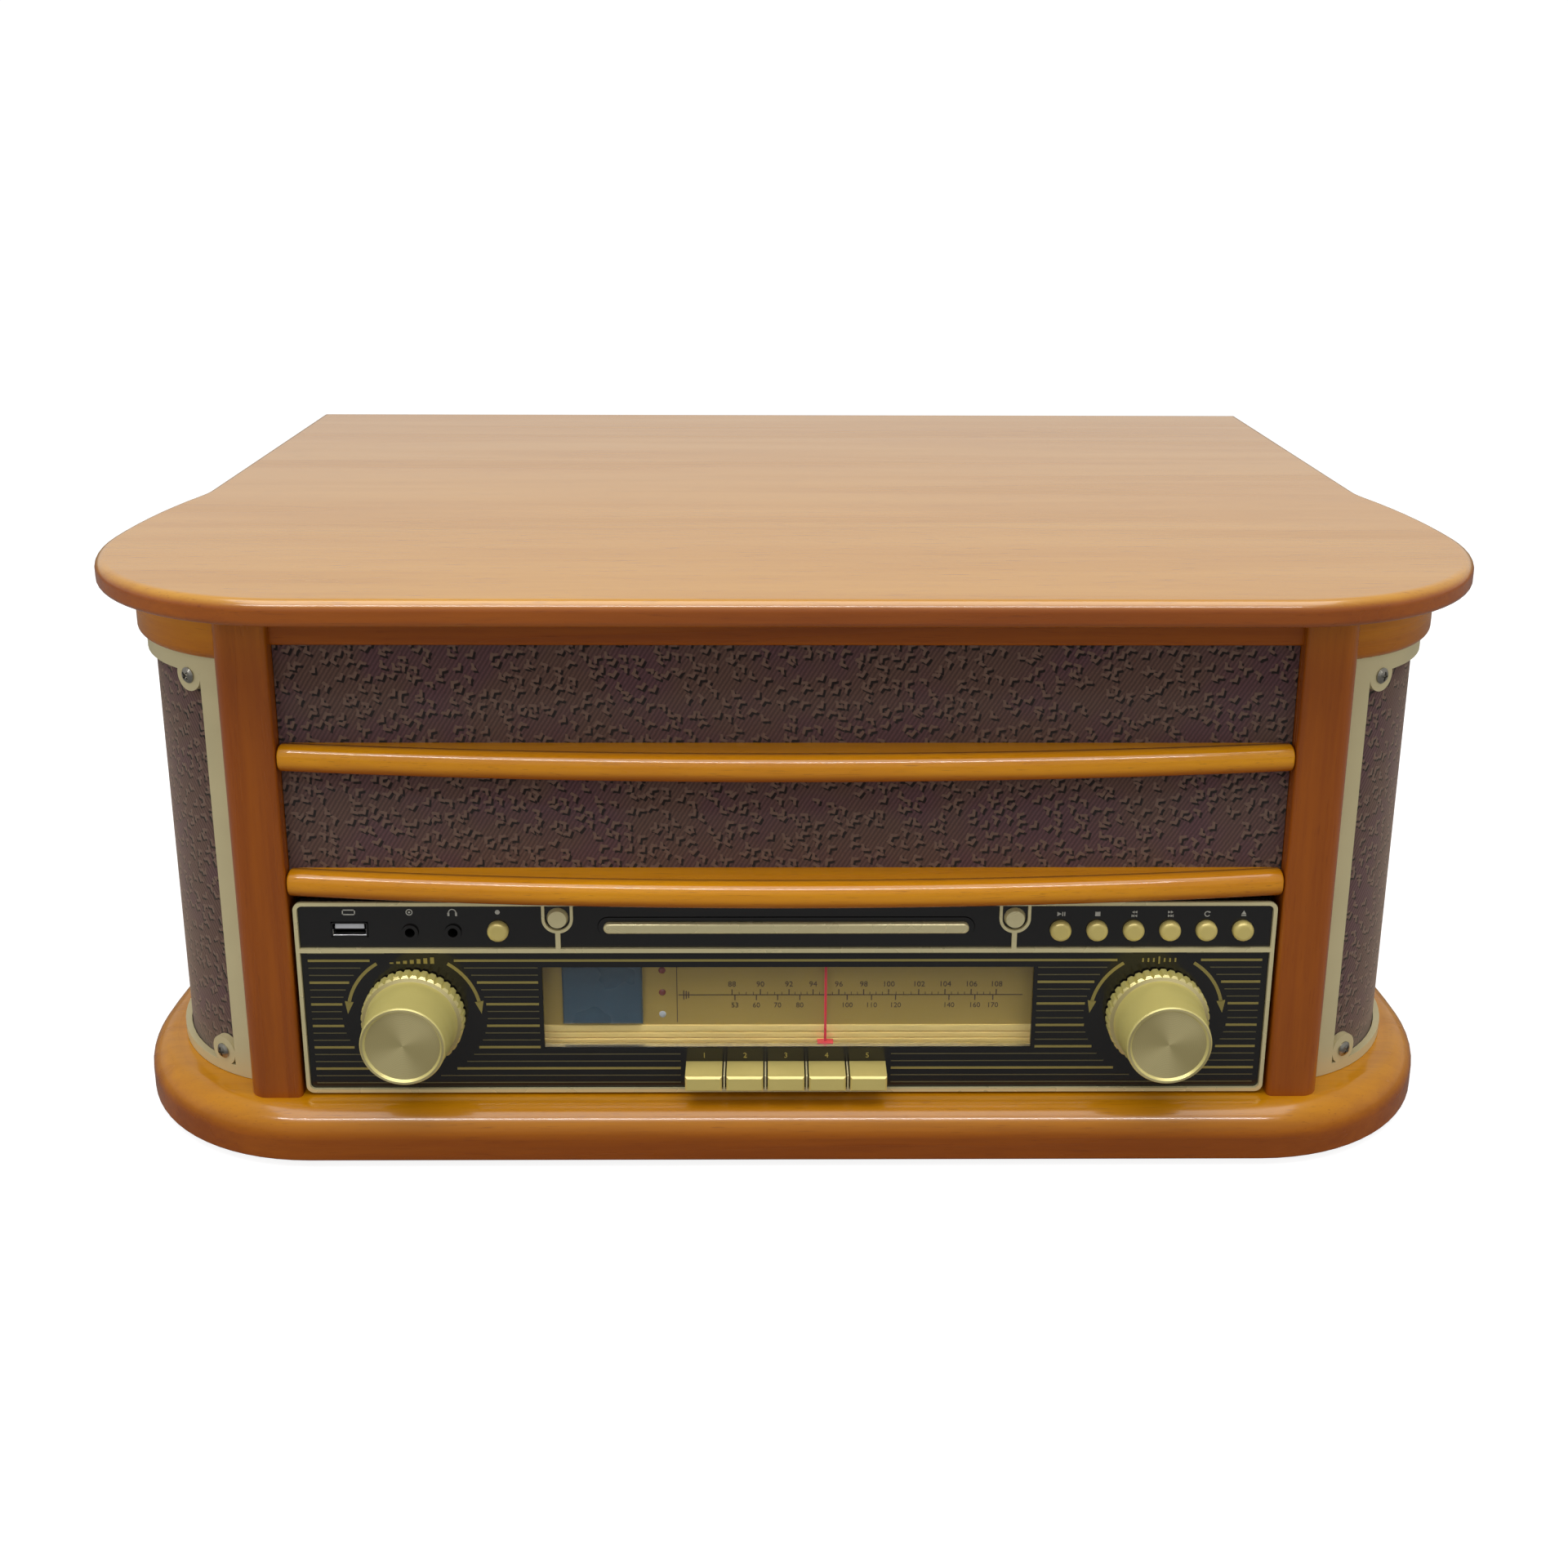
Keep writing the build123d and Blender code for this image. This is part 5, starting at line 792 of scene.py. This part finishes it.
# %% Moulding faces
def moulding_nose(middle):
    """One moulding's bowed face round a height, as a closed shape."""
    nose = bmesh.new()
    width = (NOSE_DEPTH + SKIN) * MM
    tall = (MOULDING_HEIGHT + 2 * SKIN) * MM
    # The grid's own X runs along Y here, and its Y along Z.
    place = Matrix(((0, 0, 1, 0), (width, 0, 0, (BOW_FRONT - SKIN) * MM + width / 2),
                    (0, tall, 0, middle * MM), (0, 0, 0, 1)))
    bmesh.ops.create_grid(nose, x_segments=1, y_segments=1, size=0.5, matrix=place)
    front = [vert for vert in nose.verts if vert.co.y < (BOW_FRONT + 1) * MM]
    round_off(nose, front, MOULDING_ROUNDING + SKIN, 10, "VERTICES")
    bmesh.ops.rotate(nose, verts=nose.verts[:], cent=bow_centre,
                     matrix=Matrix.Rotation(-bow_half, 3, "Z"))
    profile = nose.faces[:]
    # The copy stays behind as the cap of the first end.
    bmesh.ops.duplicate(nose, geom=profile)
    outline = [edge for face in profile for edge in face.edges]
    bmesh.ops.spin(nose, geom=profile + outline, cent=bow_centre, axis=(0, 0, 1),
                   angle=2 * bow_half, steps=64, use_duplicate=False)
    close_shape(nose)
    ends = {edge for face in nose.faces if abs(face.normal.x) > 0.9 for edge in face.edges}
    round_off(nose, list(ends), END_ROUNDING, 4)
    close_shape(nose)
    smooth_all(nose)
    return nose


mouldings = bmesh.new()
for middle in MOULDINGS:
    shape = mesh_of("moulding", moulding_nose(middle))
    mouldings.from_mesh(shape)
    bpy.data.meshes.remove(shape)
moulding_faces = new_piece("moulding_faces", mouldings, "amber_wood_across")

# %% [markdown]
# Printed lines on the panel
#
# The black panel has gold lines every three millimetres, and each third one is brighter. They
# stop on a circle round each knob, beside the window, and beside the keys. Each line is a thin
# plate, and where it would cross a circle, its ends come from the circle's own equation.

# %% Panel sizes
fascia_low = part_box("fascia")[0]
PANEL = fascia_low.y / MM
FOOT = fascia_low.z / MM
PRINT = (PANEL - 0.12, PANEL + 0.05)
KNOB_X = 138.0
KNOB_Z = FOOT + 32.2
CLEAR_RADIUS = 27.0
LINE_PITCH = 2.985
TOP_LINE = 57.3
LOWEST_LINE = 2.6
LINE_END = 176.2
BRIGHT_HALF = 0.46
DIM_HALF = 0.2
WINDOW_SPAN = (-91.8, 93.3)
WINDOW_HEIGHTS = (17.2, 52.4)
KEYS_SPAN = (-39.5, 39.5)
KEYS_TOP = 17.0


def free_spans(height):
    """The runs of one printed line, in X, at a height above the panel's foot."""
    stops = []
    rise = FOOT + height - KNOB_Z
    if abs(rise) < CLEAR_RADIUS:
        half = math.sqrt(CLEAR_RADIUS ** 2 - rise ** 2)
        stops += [(-KNOB_X - half, -KNOB_X + half), (KNOB_X - half, KNOB_X + half)]
    if WINDOW_HEIGHTS[0] < height < WINDOW_HEIGHTS[1]:
        stops.append(WINDOW_SPAN)
    if height < KEYS_TOP:
        stops.append(KEYS_SPAN)
    start = -LINE_END
    spans = []
    for low, high in sorted(stops):
        if low > start:
            spans.append((start, low))
        start = max(start, high)
    spans.append((start, LINE_END))
    return spans


print("the panel's face is at", round(PANEL, 2), "mm and its foot at", round(FOOT, 2), "mm")


# %% Panel lines
def add_plate(bm, x_range, y_range, z_range):
    """A block between two X, two Y and two Z values in millimetres."""
    low = Vector((x_range[0], y_range[0], z_range[0])) * MM
    high = Vector((x_range[1], y_range[1], z_range[1])) * MM
    place = Matrix.Translation((low + high) / 2) @ Matrix.Diagonal((*(high - low), 1))
    return bmesh.ops.create_cube(bm, size=1, matrix=place)["verts"]


bright_lines = bmesh.new()
dim_lines = bmesh.new()
line_count = 0
while TOP_LINE - line_count * LINE_PITCH > LOWEST_LINE:
    height = TOP_LINE - line_count * LINE_PITCH
    bright = line_count % 3 == 1
    half = BRIGHT_HALF if bright else DIM_HALF
    for span in free_spans(height):
        add_plate(bright_lines if bright else dim_lines, span, PRINT,
                  (FOOT + height - half, FOOT + height + half))
    line_count += 1
new_piece("bright_lines", bright_lines, "gold_ink")
new_piece("dim_lines", dim_lines, "dim_gold_ink")
print(line_count, "printed lines")


# %% [markdown]
# Arrows and marks
#
# Round each knob two curved arrows show which way it turns. A growing wedge stands for volume, a
# row of ticks for tuning, plain numbers for the keys, and the usual triangles and squares for the
# disc player's buttons.

# %% Prism and arc helpers
def add_prism(bm, x, z, y_range, radius, sides, turn=0.0, ratio=1.0):
    """A prism that faces the front: a disc, a triangle or a lozenge, in millimetres."""
    place = (Matrix.Translation(Vector((x, sum(y_range) / 2, z)) * MM) @ STAND_UP
             @ Matrix.Rotation(math.radians(turn), 4, "Z") @ Matrix.Diagonal((ratio, 1, 1, 1)))
    bmesh.ops.create_cone(bm, cap_ends=True, segments=sides, radius1=radius * MM,
                          radius2=radius * MM, depth=abs(y_range[1] - y_range[0]) * MM,
                          matrix=place)


def add_arc(bm, x, z, y_range, radius, width, start, sweep, steps=24):
    """A band bent round a centre on the front, from a start angle through a sweep, in degrees."""
    verts = add_plate(bm, (x + radius - width / 2, x + radius + width / 2), y_range, (z, z + 0.01))
    faces = [face for face in bm.faces if all(vert in verts for vert in face.verts)]
    keep = max(faces, key=lambda face: face.calc_center_median().z)
    bmesh.ops.delete(bm, geom=[face for face in faces if face is not keep], context="FACES")
    for vert in keep.verts:
        vert.co.z = z * MM
    centre = Vector((x, 0, z)) * MM
    bmesh.ops.rotate(bm, verts=keep.verts[:], cent=centre,
                     matrix=Matrix.Rotation(math.radians(-start), 3, "Y"))
    # The copy stays behind as the cap of the first end.
    bmesh.ops.duplicate(bm, geom=[keep])
    bmesh.ops.spin(bm, geom=[keep, *keep.edges, *keep.verts], cent=centre, axis=(0, -1, 0),
                   angle=math.radians(sweep), steps=steps, use_duplicate=False)
    bmesh.ops.remove_doubles(bm, verts=bm.verts[:], dist=1e-7)


print("prism and arc helpers ready")

# %% Knob arrows
ARROW_RADIUS = 24.6
ARROW_WIDTH = 1.25
HEAD_REACH = 3.4
HEAD_RATIO = 0.55
# Each arrow has its arc's start and sweep, and its head's angle and turn, in degrees.
ARROWS = ((122, 46, 171.5, 171.5), (58, -46, 8.5, -171.5))
arrows = bmesh.new()
for side in (-1, 1):
    for start, sweep, middle, turn in ARROWS:
        add_arc(arrows, side * KNOB_X, KNOB_Z, PRINT, ARROW_RADIUS, ARROW_WIDTH, start, sweep)
        head = math.radians(middle)
        add_prism(arrows, side * KNOB_X + ARROW_RADIUS * math.cos(head),
                  KNOB_Z + ARROW_RADIUS * math.sin(head), PRINT, HEAD_REACH, 3, turn=turn,
                  ratio=HEAD_RATIO)
close_shape(arrows)
new_piece("knob_arrows", arrows, "gold_ink")

# %% Volume and tuning marks
MARK_Z = FOOT + 54.3
MARK_COUNT = 7
WEDGE_FOOT = MARK_Z - 1.2
WEDGE_PITCH = 2.5
TICK_PITCH = 2
marks = bmesh.new()
for step in range(MARK_COUNT):
    from_middle = step - MARK_COUNT // 2
    x = -KNOB_X + from_middle * WEDGE_PITCH
    add_plate(marks, (x - 0.7, x + 0.7), PRINT, (WEDGE_FOOT, WEDGE_FOOT + 0.5 + step * 0.34))
    x = KNOB_X + from_middle * TICK_PITCH
    rise = 0.8 if from_middle else 1.5
    add_plate(marks, (x - 0.3, x + 0.3), PRINT, (MARK_Z - rise, MARK_Z + rise))
new_piece("knob_marks", marks, "gold_ink")

# %% Key numbers
KEY_COUNT = 5
KEY_PITCH = 15.3
NUMBER_Z = FOOT + 14.8
NUMBER_SIZE = 3.0


def add_number(bm, words, x, z, y_range, size):
    """Plain numbers on the front, centred on a place, in millimetres."""
    curve = bpy.data.curves.new("number", "FONT")
    curve.body = words
    curve.size = size * MM
    curve.align_x = "CENTER"
    curve.align_y = "CENTER"
    curve.extrude = (y_range[1] - y_range[0]) / 2 * MM
    curve.resolution_u = 3
    holder = put_in_scene("number", curve)
    bpy.context.view_layer.update()
    mesh = bpy.data.meshes.new_from_object(holder)
    mesh.transform(Matrix.Translation(Vector((x, sum(y_range) / 2, z)) * MM) @ STAND_UP)
    bm.from_mesh(mesh)
    bpy.data.objects.remove(holder)
    bpy.data.curves.remove(curve)
    bpy.data.meshes.remove(mesh)


numbers = bmesh.new()
for index in range(KEY_COUNT):
    x = (index - (KEY_COUNT - 1) / 2) * KEY_PITCH
    add_number(numbers, str(index + 1), x, NUMBER_Z, PRINT, NUMBER_SIZE)
new_piece("key_numbers", numbers, "gold_ink")

# %% Disc player marks
MARK_ROW = FOOT + 73.0
TRANSPORT_X = 100.8
TRANSPORT_PITCH = 13.44
RIGHT, LEFT, UPWARD = -90, 90, 0
STROKE = 0.35
symbols = bmesh.new()


def add_triangle(x, z, size, turn):
    """A small triangle that points right, left or upward."""
    add_prism(symbols, x, z, PRINT, size, 3, turn=turn)


def add_bar(x, z, width, height):
    """A small upright or level bar."""
    add_plate(symbols, (x - width / 2, x + width / 2), PRINT, (z - height / 2, z + height / 2))


add_triangle(TRANSPORT_X - 0.9, MARK_ROW, 1.0, RIGHT)
add_bar(TRANSPORT_X + 0.55, MARK_ROW, 0.4, 1.6)
add_bar(TRANSPORT_X + 1.3, MARK_ROW, 0.4, 1.6)
add_bar(TRANSPORT_X + TRANSPORT_PITCH, MARK_ROW, 1.9, 1.7)
for index, way in ((2, LEFT), (3, RIGHT)):
    x = TRANSPORT_X + index * TRANSPORT_PITCH
    sign = 1 if way == RIGHT else -1
    for row, bar in ((0.75, False), (-0.75, True)):
        add_triangle(x - sign * 0.75, MARK_ROW + row, 0.62, way)
        add_triangle(x + sign * 0.25, MARK_ROW + row, 0.62, way)
        if bar:
            add_bar(x + sign * 0.85, MARK_ROW + row, 0.25, 1.0)
x = TRANSPORT_X + 4 * TRANSPORT_PITCH
add_arc(symbols, x, MARK_ROW, PRINT, 0.95, STROKE, 60, 270, steps=16)
add_triangle(x + 0.75, MARK_ROW + 0.75, 0.5, RIGHT)
x = TRANSPORT_X + 5 * TRANSPORT_PITCH
add_triangle(x, MARK_ROW + 0.35, 1.0, UPWARD)
add_bar(x, MARK_ROW - 0.65, 1.8, 0.4)
print("disc player marks every", TRANSPORT_PITCH, "mm")

# %% Socket marks
RECORD_X = -105.7
PHONES_X = -122.2
AUX_X = -137.9
USB_X = -160.0
SOCKET_ROW = FOOT + 73.9
add_prism(symbols, RECORD_X, SOCKET_ROW, PRINT, 0.9, 20)
add_arc(symbols, PHONES_X, SOCKET_ROW - 0.2, PRINT, 1.35, STROKE, 0, 180, steps=14)
add_arc(symbols, AUX_X, SOCKET_ROW, PRINT, 1.1, STROKE, 0, 359.9, steps=20)
add_prism(symbols, AUX_X, SOCKET_ROW, PRINT, 0.4, 12)
for side in (-1, 1):
    add_bar(PHONES_X + side * 1.4, SOCKET_ROW - 0.8, 0.7, 1.4)
    add_bar(USB_X, SOCKET_ROW + side * 0.9, 4.8, 0.4)
    add_bar(USB_X + side * 2.2, SOCKET_ROW, 0.4, 2.2)
close_shape(symbols)
new_piece("button_marks", symbols, "pale_ink")

# %% [markdown]
# Key dividers
#
# Between the five square keys stand thin champagne blades, which keep a finger from pressing two
# keys at once. They are fixed to the panel, and each key slides past them with room to spare.

# %% Key dividers
key_low, key_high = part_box("tuner_key")
dividers = bmesh.new()
for index in range(KEY_COUNT - 1):
    x = (index - (KEY_COUNT - 2) / 2) * KEY_PITCH
    add_plate(dividers, (x - 0.3, x + 0.3), (key_low.y / MM + 1.2, PANEL),
              (key_low.z / MM, key_high.z / MM))
round_off(dividers, dividers.edges[:], 0.08, 1)
new_piece("key_dividers", dividers, "trim_champagne")

# %% [markdown]
# The memory stick socket
#
# In the socket a pale contact block shows above the dark opening, and the thin metal shell shines
# along its foot. Both are small blocks with their edges bevelled, inside the CAD node's mouth.

# %% Socket block and shell
USB_Z = FOOT + 67.0
LIP_X = 6.1
contact = bmesh.new()
add_plate(contact, (USB_X - 5.3, USB_X + 5.3), (PANEL + 0.25, PANEL + 6),
          (USB_Z + 0.25, USB_Z + 2.15))
shell = bmesh.new()
lip_depth = (PANEL - 0.2, PANEL + 4)
add_plate(shell, (USB_X - LIP_X, USB_X + LIP_X), lip_depth, (USB_Z - 2.4, USB_Z - 2.05))
for side in (-1, 1):
    x = USB_X + side * LIP_X
    add_plate(shell, (x - 0.15, x + 0.15), lip_depth, (USB_Z - 2.0, USB_Z + 0.1))
for socket_part in (contact, shell):
    round_off(socket_part, socket_part.edges[:], 0.06, 1)
new_piece("usb_contact_block", contact, "socket_silver")
new_piece("usb_shell_lips", shell, "steel")

# %% [markdown]
# The dial
#
# Behind the window lies a champagne card with two rows of numbers, a line of ticks between them,
# and a stepped ledge along its foot. The display stands at its left, with three small lamps
# beside it. The red pointer is a CAD node that slides on its rail in front of the card.

# %% Dial scale
card_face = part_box("display")[1].y / MM
CARD = (card_face - 0.12, card_face + 0.05)
LINE_Z = FOOT + 34.9
LINE_SPAN = (-40.5, 89.5)
UPPER_X = (-20.3, -9.6, 1.2, 10.3, 20.0, 29.4, 38.8, 50.2, 60.1, 70.0, 79.5)
LOWER_X = (-19.2, -11.1, -3.1, 5.3, 23.2, 32.4, 41.5, 61.7, 71.5, 78.3)
UPPER_START, UPPER_STEP = 88, 2
LOWER_NUMBERS = (53, 60, 70, 80, 100, 110, 120, 140, 160, 170)
UPPER_ROW, UPPER_SIZE = FOOT + 39.3, 3.1
LOWER_ROW, LOWER_SIZE = FOOT + 30.5, 2.9
TICK_HALF, SMALL_TICK_HALF = 0.2, 0.12
UPPER_TICK, LOWER_TICK, SMALL_TICK = 2.3, 2.2, 1.2
SCALE_STEPS = 4
SIDE_LINE = (-41.2, -40.9)
SIDE_LINE_HEIGHTS = (FOOT + 23.5, FOOT + 52.0)
FAN_X = -35.8
FAN_PITCH = 0.9
scale_lines = bmesh.new()
scale_numbers = bmesh.new()


def add_tick(x, half, bottom, top):
    """An upright tick on the card, from one height to another above the scale's line."""
    add_plate(scale_lines, (x - half, x + half), CARD, (LINE_Z + bottom, LINE_Z + top))


add_plate(scale_lines, LINE_SPAN, CARD, (LINE_Z - 0.17, LINE_Z + 0.17))
add_plate(scale_lines, SIDE_LINE, CARD, SIDE_LINE_HEIGHTS)
for index, x in enumerate(UPPER_X):
    add_tick(x, TICK_HALF, 0, UPPER_TICK)
    add_number(scale_numbers, str(UPPER_START + UPPER_STEP * index), x, UPPER_ROW, CARD, UPPER_SIZE)
    for part in range(1, SCALE_STEPS if index else 1):
        between = x + (UPPER_X[index - 1] - x) * part / SCALE_STEPS
        add_tick(between, SMALL_TICK_HALF, 0, SMALL_TICK)
for number, x in zip(LOWER_NUMBERS, LOWER_X):
    add_tick(x, TICK_HALF, -LOWER_TICK, 0)
    add_number(scale_numbers, str(number), x, LOWER_ROW, CARD, LOWER_SIZE)
for index in range(1, 4):
    rise = 1.0 + index * 0.3
    add_tick(FAN_X - index * FAN_PITCH, TICK_HALF, -rise, rise)
close_shape(scale_lines)
new_piece("scale_lines", scale_lines, "brown_ink")
new_piece("scale_numbers", scale_numbers, "brown_ink")
print(len(UPPER_X) + len(LOWER_X), "numbers on the dial")

# %% Dial ledge
LEDGE_SPAN = (-94.0, 95.5)
# Each step has its top, its foot and how far it stands proud.
LEDGE_STEPS = ((22.4, 19.9, 0.7), (19.5, 17.6, 1.1), (17.2, 14.4, 1.5))
ledge = bmesh.new()
for top, bottom, proud in LEDGE_STEPS:
    add_plate(ledge, LEDGE_SPAN, (card_face - proud, card_face + 0.1),
              (FOOT + bottom, FOOT + top))
round_off(ledge, ledge.edges[:], 0.15, 2)
new_piece("dial_ledge", ledge, "ledge_card")

# %% Dial lamps
LAMP_X = -46.6
LAMP_RADIUS = 1.35
LAMP_FLATNESS = 0.55
LAMPS = ((1, 45.2, "lamp_red"), (2, 36.0, "lamp_red"), (3, 26.8, "lamp_clear"))
for number, height, material in LAMPS:
    lamp = bmesh.new()
    place = (Matrix.Translation(Vector((LAMP_X, card_face, FOOT + height)) * MM)
             @ Matrix.Diagonal((1, LAMP_FLATNESS, 1, 1)))
    bmesh.ops.create_uvsphere(lamp, u_segments=20, v_segments=12, radius=LAMP_RADIUS * MM,
                              matrix=place)
    smooth_all(lamp)
    new_piece("dial_lamp_%d" % number, lamp, material)

# %% [markdown]
# Screws
#
# Eight screws hold the speaker frames and six the back panel. Each has a low domed head with a
# cross sunk in it. The dome is a profile spun round its axis, and two thin blocks are cut out of
# it. One head is made, and copies of its mesh are set square to the surface they hold.

# %% One screw head
HEAD_RISE = 1.5
HEAD_PROFILE = ((0, HEAD_RISE), (1.2, HEAD_RISE - 0.08), (2.1, HEAD_RISE - 0.42),
                (2.75, HEAD_RISE - 0.95), (3.0, 0.35), (3.0, 0), (0, 0))
CROSS_SIZE = (3.4, 0.75, 1.6)


def spin_dome():
    """The head's dome along +Z, closed."""
    bm = bmesh.new()
    verts = [bm.verts.new(Vector((radius, 0, rise)) * MM) for radius, rise in HEAD_PROFILE]
    for start, end in zip(verts, verts[1:]):
        bm.edges.new((start, end))
    bmesh.ops.spin(bm, geom=bm.verts[:] + bm.edges[:], cent=(0, 0, 0), axis=(0, 0, 1),
                   angle=math.tau, steps=28, use_merge=True)
    close_shape(bm)
    return bm


def make_cross():
    """Two thin blocks that cross at the top of the head."""
    bm = bmesh.new()
    for turn in (0, 90):
        place = (Matrix.Rotation(math.radians(turn), 4, "Z")
                 @ Matrix.Translation((0, 0, HEAD_RISE * MM))
                 @ Matrix.Diagonal((*(size * MM for size in CROSS_SIZE), 1)))
        bmesh.ops.create_cube(bm, size=1, matrix=place)
    return bm


head = put_in_scene("screw_head", mesh_of("screw_head", spin_dome()))
cross = put_in_scene("screw_cross", mesh_of("screw_cross", make_cross()))
cut = head.modifiers.new("cross", "BOOLEAN")
cut.object = cross
cut.operation = "DIFFERENCE"
cut.use_self = True
bpy.context.view_layer.update()
finished = head.evaluated_get(bpy.context.evaluated_depsgraph_get())
head_mesh = bpy.data.meshes.new_from_object(finished)
bpy.data.objects.remove(head)
bpy.data.objects.remove(cross)
print("a screw head of", len(head_mesh.polygons), "faces")

# %% Screw heads
LUG_TURN = math.radians(-58.0)
REAR_LUG_REACH = 30.0 * MM
LUG_BACK_TURN = math.asin(REAR_LUG_REACH / SWELL_RADIUS)
LUG_HEIGHTS = (FOOT + 8.0, FOOT + 160.0)
BACK_X = (-214, 214)
BACK_HEIGHTS = (36, 90, 148)
FIRST_SPIN = 17
SPIN_STEP = 31
seats = []
for side in (-1, 1):
    for centre, reach, turn in ((CORNER, CORNER_RADIUS, LUG_TURN),
                                (swell_centre, SWELL_RADIUS, LUG_BACK_TURN)):
        outward = Vector((side * math.cos(turn), math.sin(turn), 0))
        foot = Vector((side * (centre.x + reach * math.cos(turn)),
                       centre.y + reach * math.sin(turn), 0))
        seats += [(foot + Vector((0, 0, height * MM)), outward) for height in LUG_HEIGHTS]
back_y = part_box("back_panel")[1].y
seats += [(Vector((x * MM, back_y, z * MM)), Vector((0, 1, 0)))
          for x in BACK_X for z in BACK_HEIGHTS]
screws = bmesh.new()
for index, (spot, outward) in enumerate(seats):
    one = head_mesh.copy()
    spin = Matrix.Rotation(math.radians(FIRST_SPIN + SPIN_STEP * index), 4, "Z")
    square = outward.to_track_quat("Z", "Y").to_matrix().to_4x4()
    one.transform(Matrix.Translation(spot) @ square @ spin)
    screws.from_mesh(one)
    bpy.data.meshes.remove(one)
bpy.data.meshes.remove(head_mesh)
screw_piece = new_piece("screw_heads", screws, "screw_metal")
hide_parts("panel_screws")
print(len(seats), "screws")

# %% [markdown]
# Floor
#
# A pale floor that curves up into a wall gives the photograph's plain white ground. It is a strip
# with its inner edge bevelled into a wide arc. Seen by the camera it glows a little, so it is white
# with only a faint shadow; to everything else it is a mid grey, so that it throws little light up
# under the object. High up it also glows to reflections, which gives the lid the pale sheen of the
# photograph.

# %% Floor shape
FLOOR_HALF = 3.5
WALL_HEIGHT = 3.5
WALL_ARC = 1600
bm = bmesh.new()
bmesh.ops.create_grid(bm, x_segments=1, y_segments=1, size=FLOOR_HALF)
back_edge = max(bm.edges, key=lambda edge: (edge.verts[0].co.y + edge.verts[1].co.y))
lifted = bmesh.ops.extrude_edge_only(bm, edges=[back_edge])["geom"]
lifted_verts = [item for item in lifted if isinstance(item, bmesh.types.BMVert)]
bmesh.ops.translate(bm, vec=(0, 0, WALL_HEIGHT), verts=lifted_verts)
round_off(bm, [back_edge], WALL_ARC, 20)
smooth_all(bm)
floor = put_in_scene("floor", mesh_of("floor", bm))
print("a floor", 2 * FLOOR_HALF, "m wide")

# %% Floor material
STAGE_COLOUR = (0.35, 0.35, 0.35, 1)
MIRRORED_COLOUR = (0.20, 0.20, 0.20, 1)
CAMERA_GLOW = 0.85
WALL_SHEEN = 0.5
SHEEN_HEIGHTS = (0.1, 0.7)
sockets = {"Roughness": 0.8, "Specular IOR Level": 0.0, "Emission Color": (1, 1, 1, 1)}
tree, shader = start_material("pale_floor", sockets)
path = add_node(tree, "LightPath")
high_up = add_range(tree, split_axes(tree, object_place(tree))["Z"], *SHEEN_HEIGHTS)
mirrored_high = add_math(tree, "MULTIPLY", path["Is Glossy Ray"], high_up)
sheen = add_math(tree, "MULTIPLY", mirrored_high, WALL_SHEEN)
join(tree, shader, {
    "Base Color": add_mix(tree, path["Is Glossy Ray"], STAGE_COLOUR, MIRRORED_COLOUR),
    "Emission Strength": add_math(tree, "MULTIPLY_ADD", path["Is Camera Ray"], CAMERA_GLOW, sheen),
})
floor.data.materials.append(materials["pale_floor"])
print("floor ready")
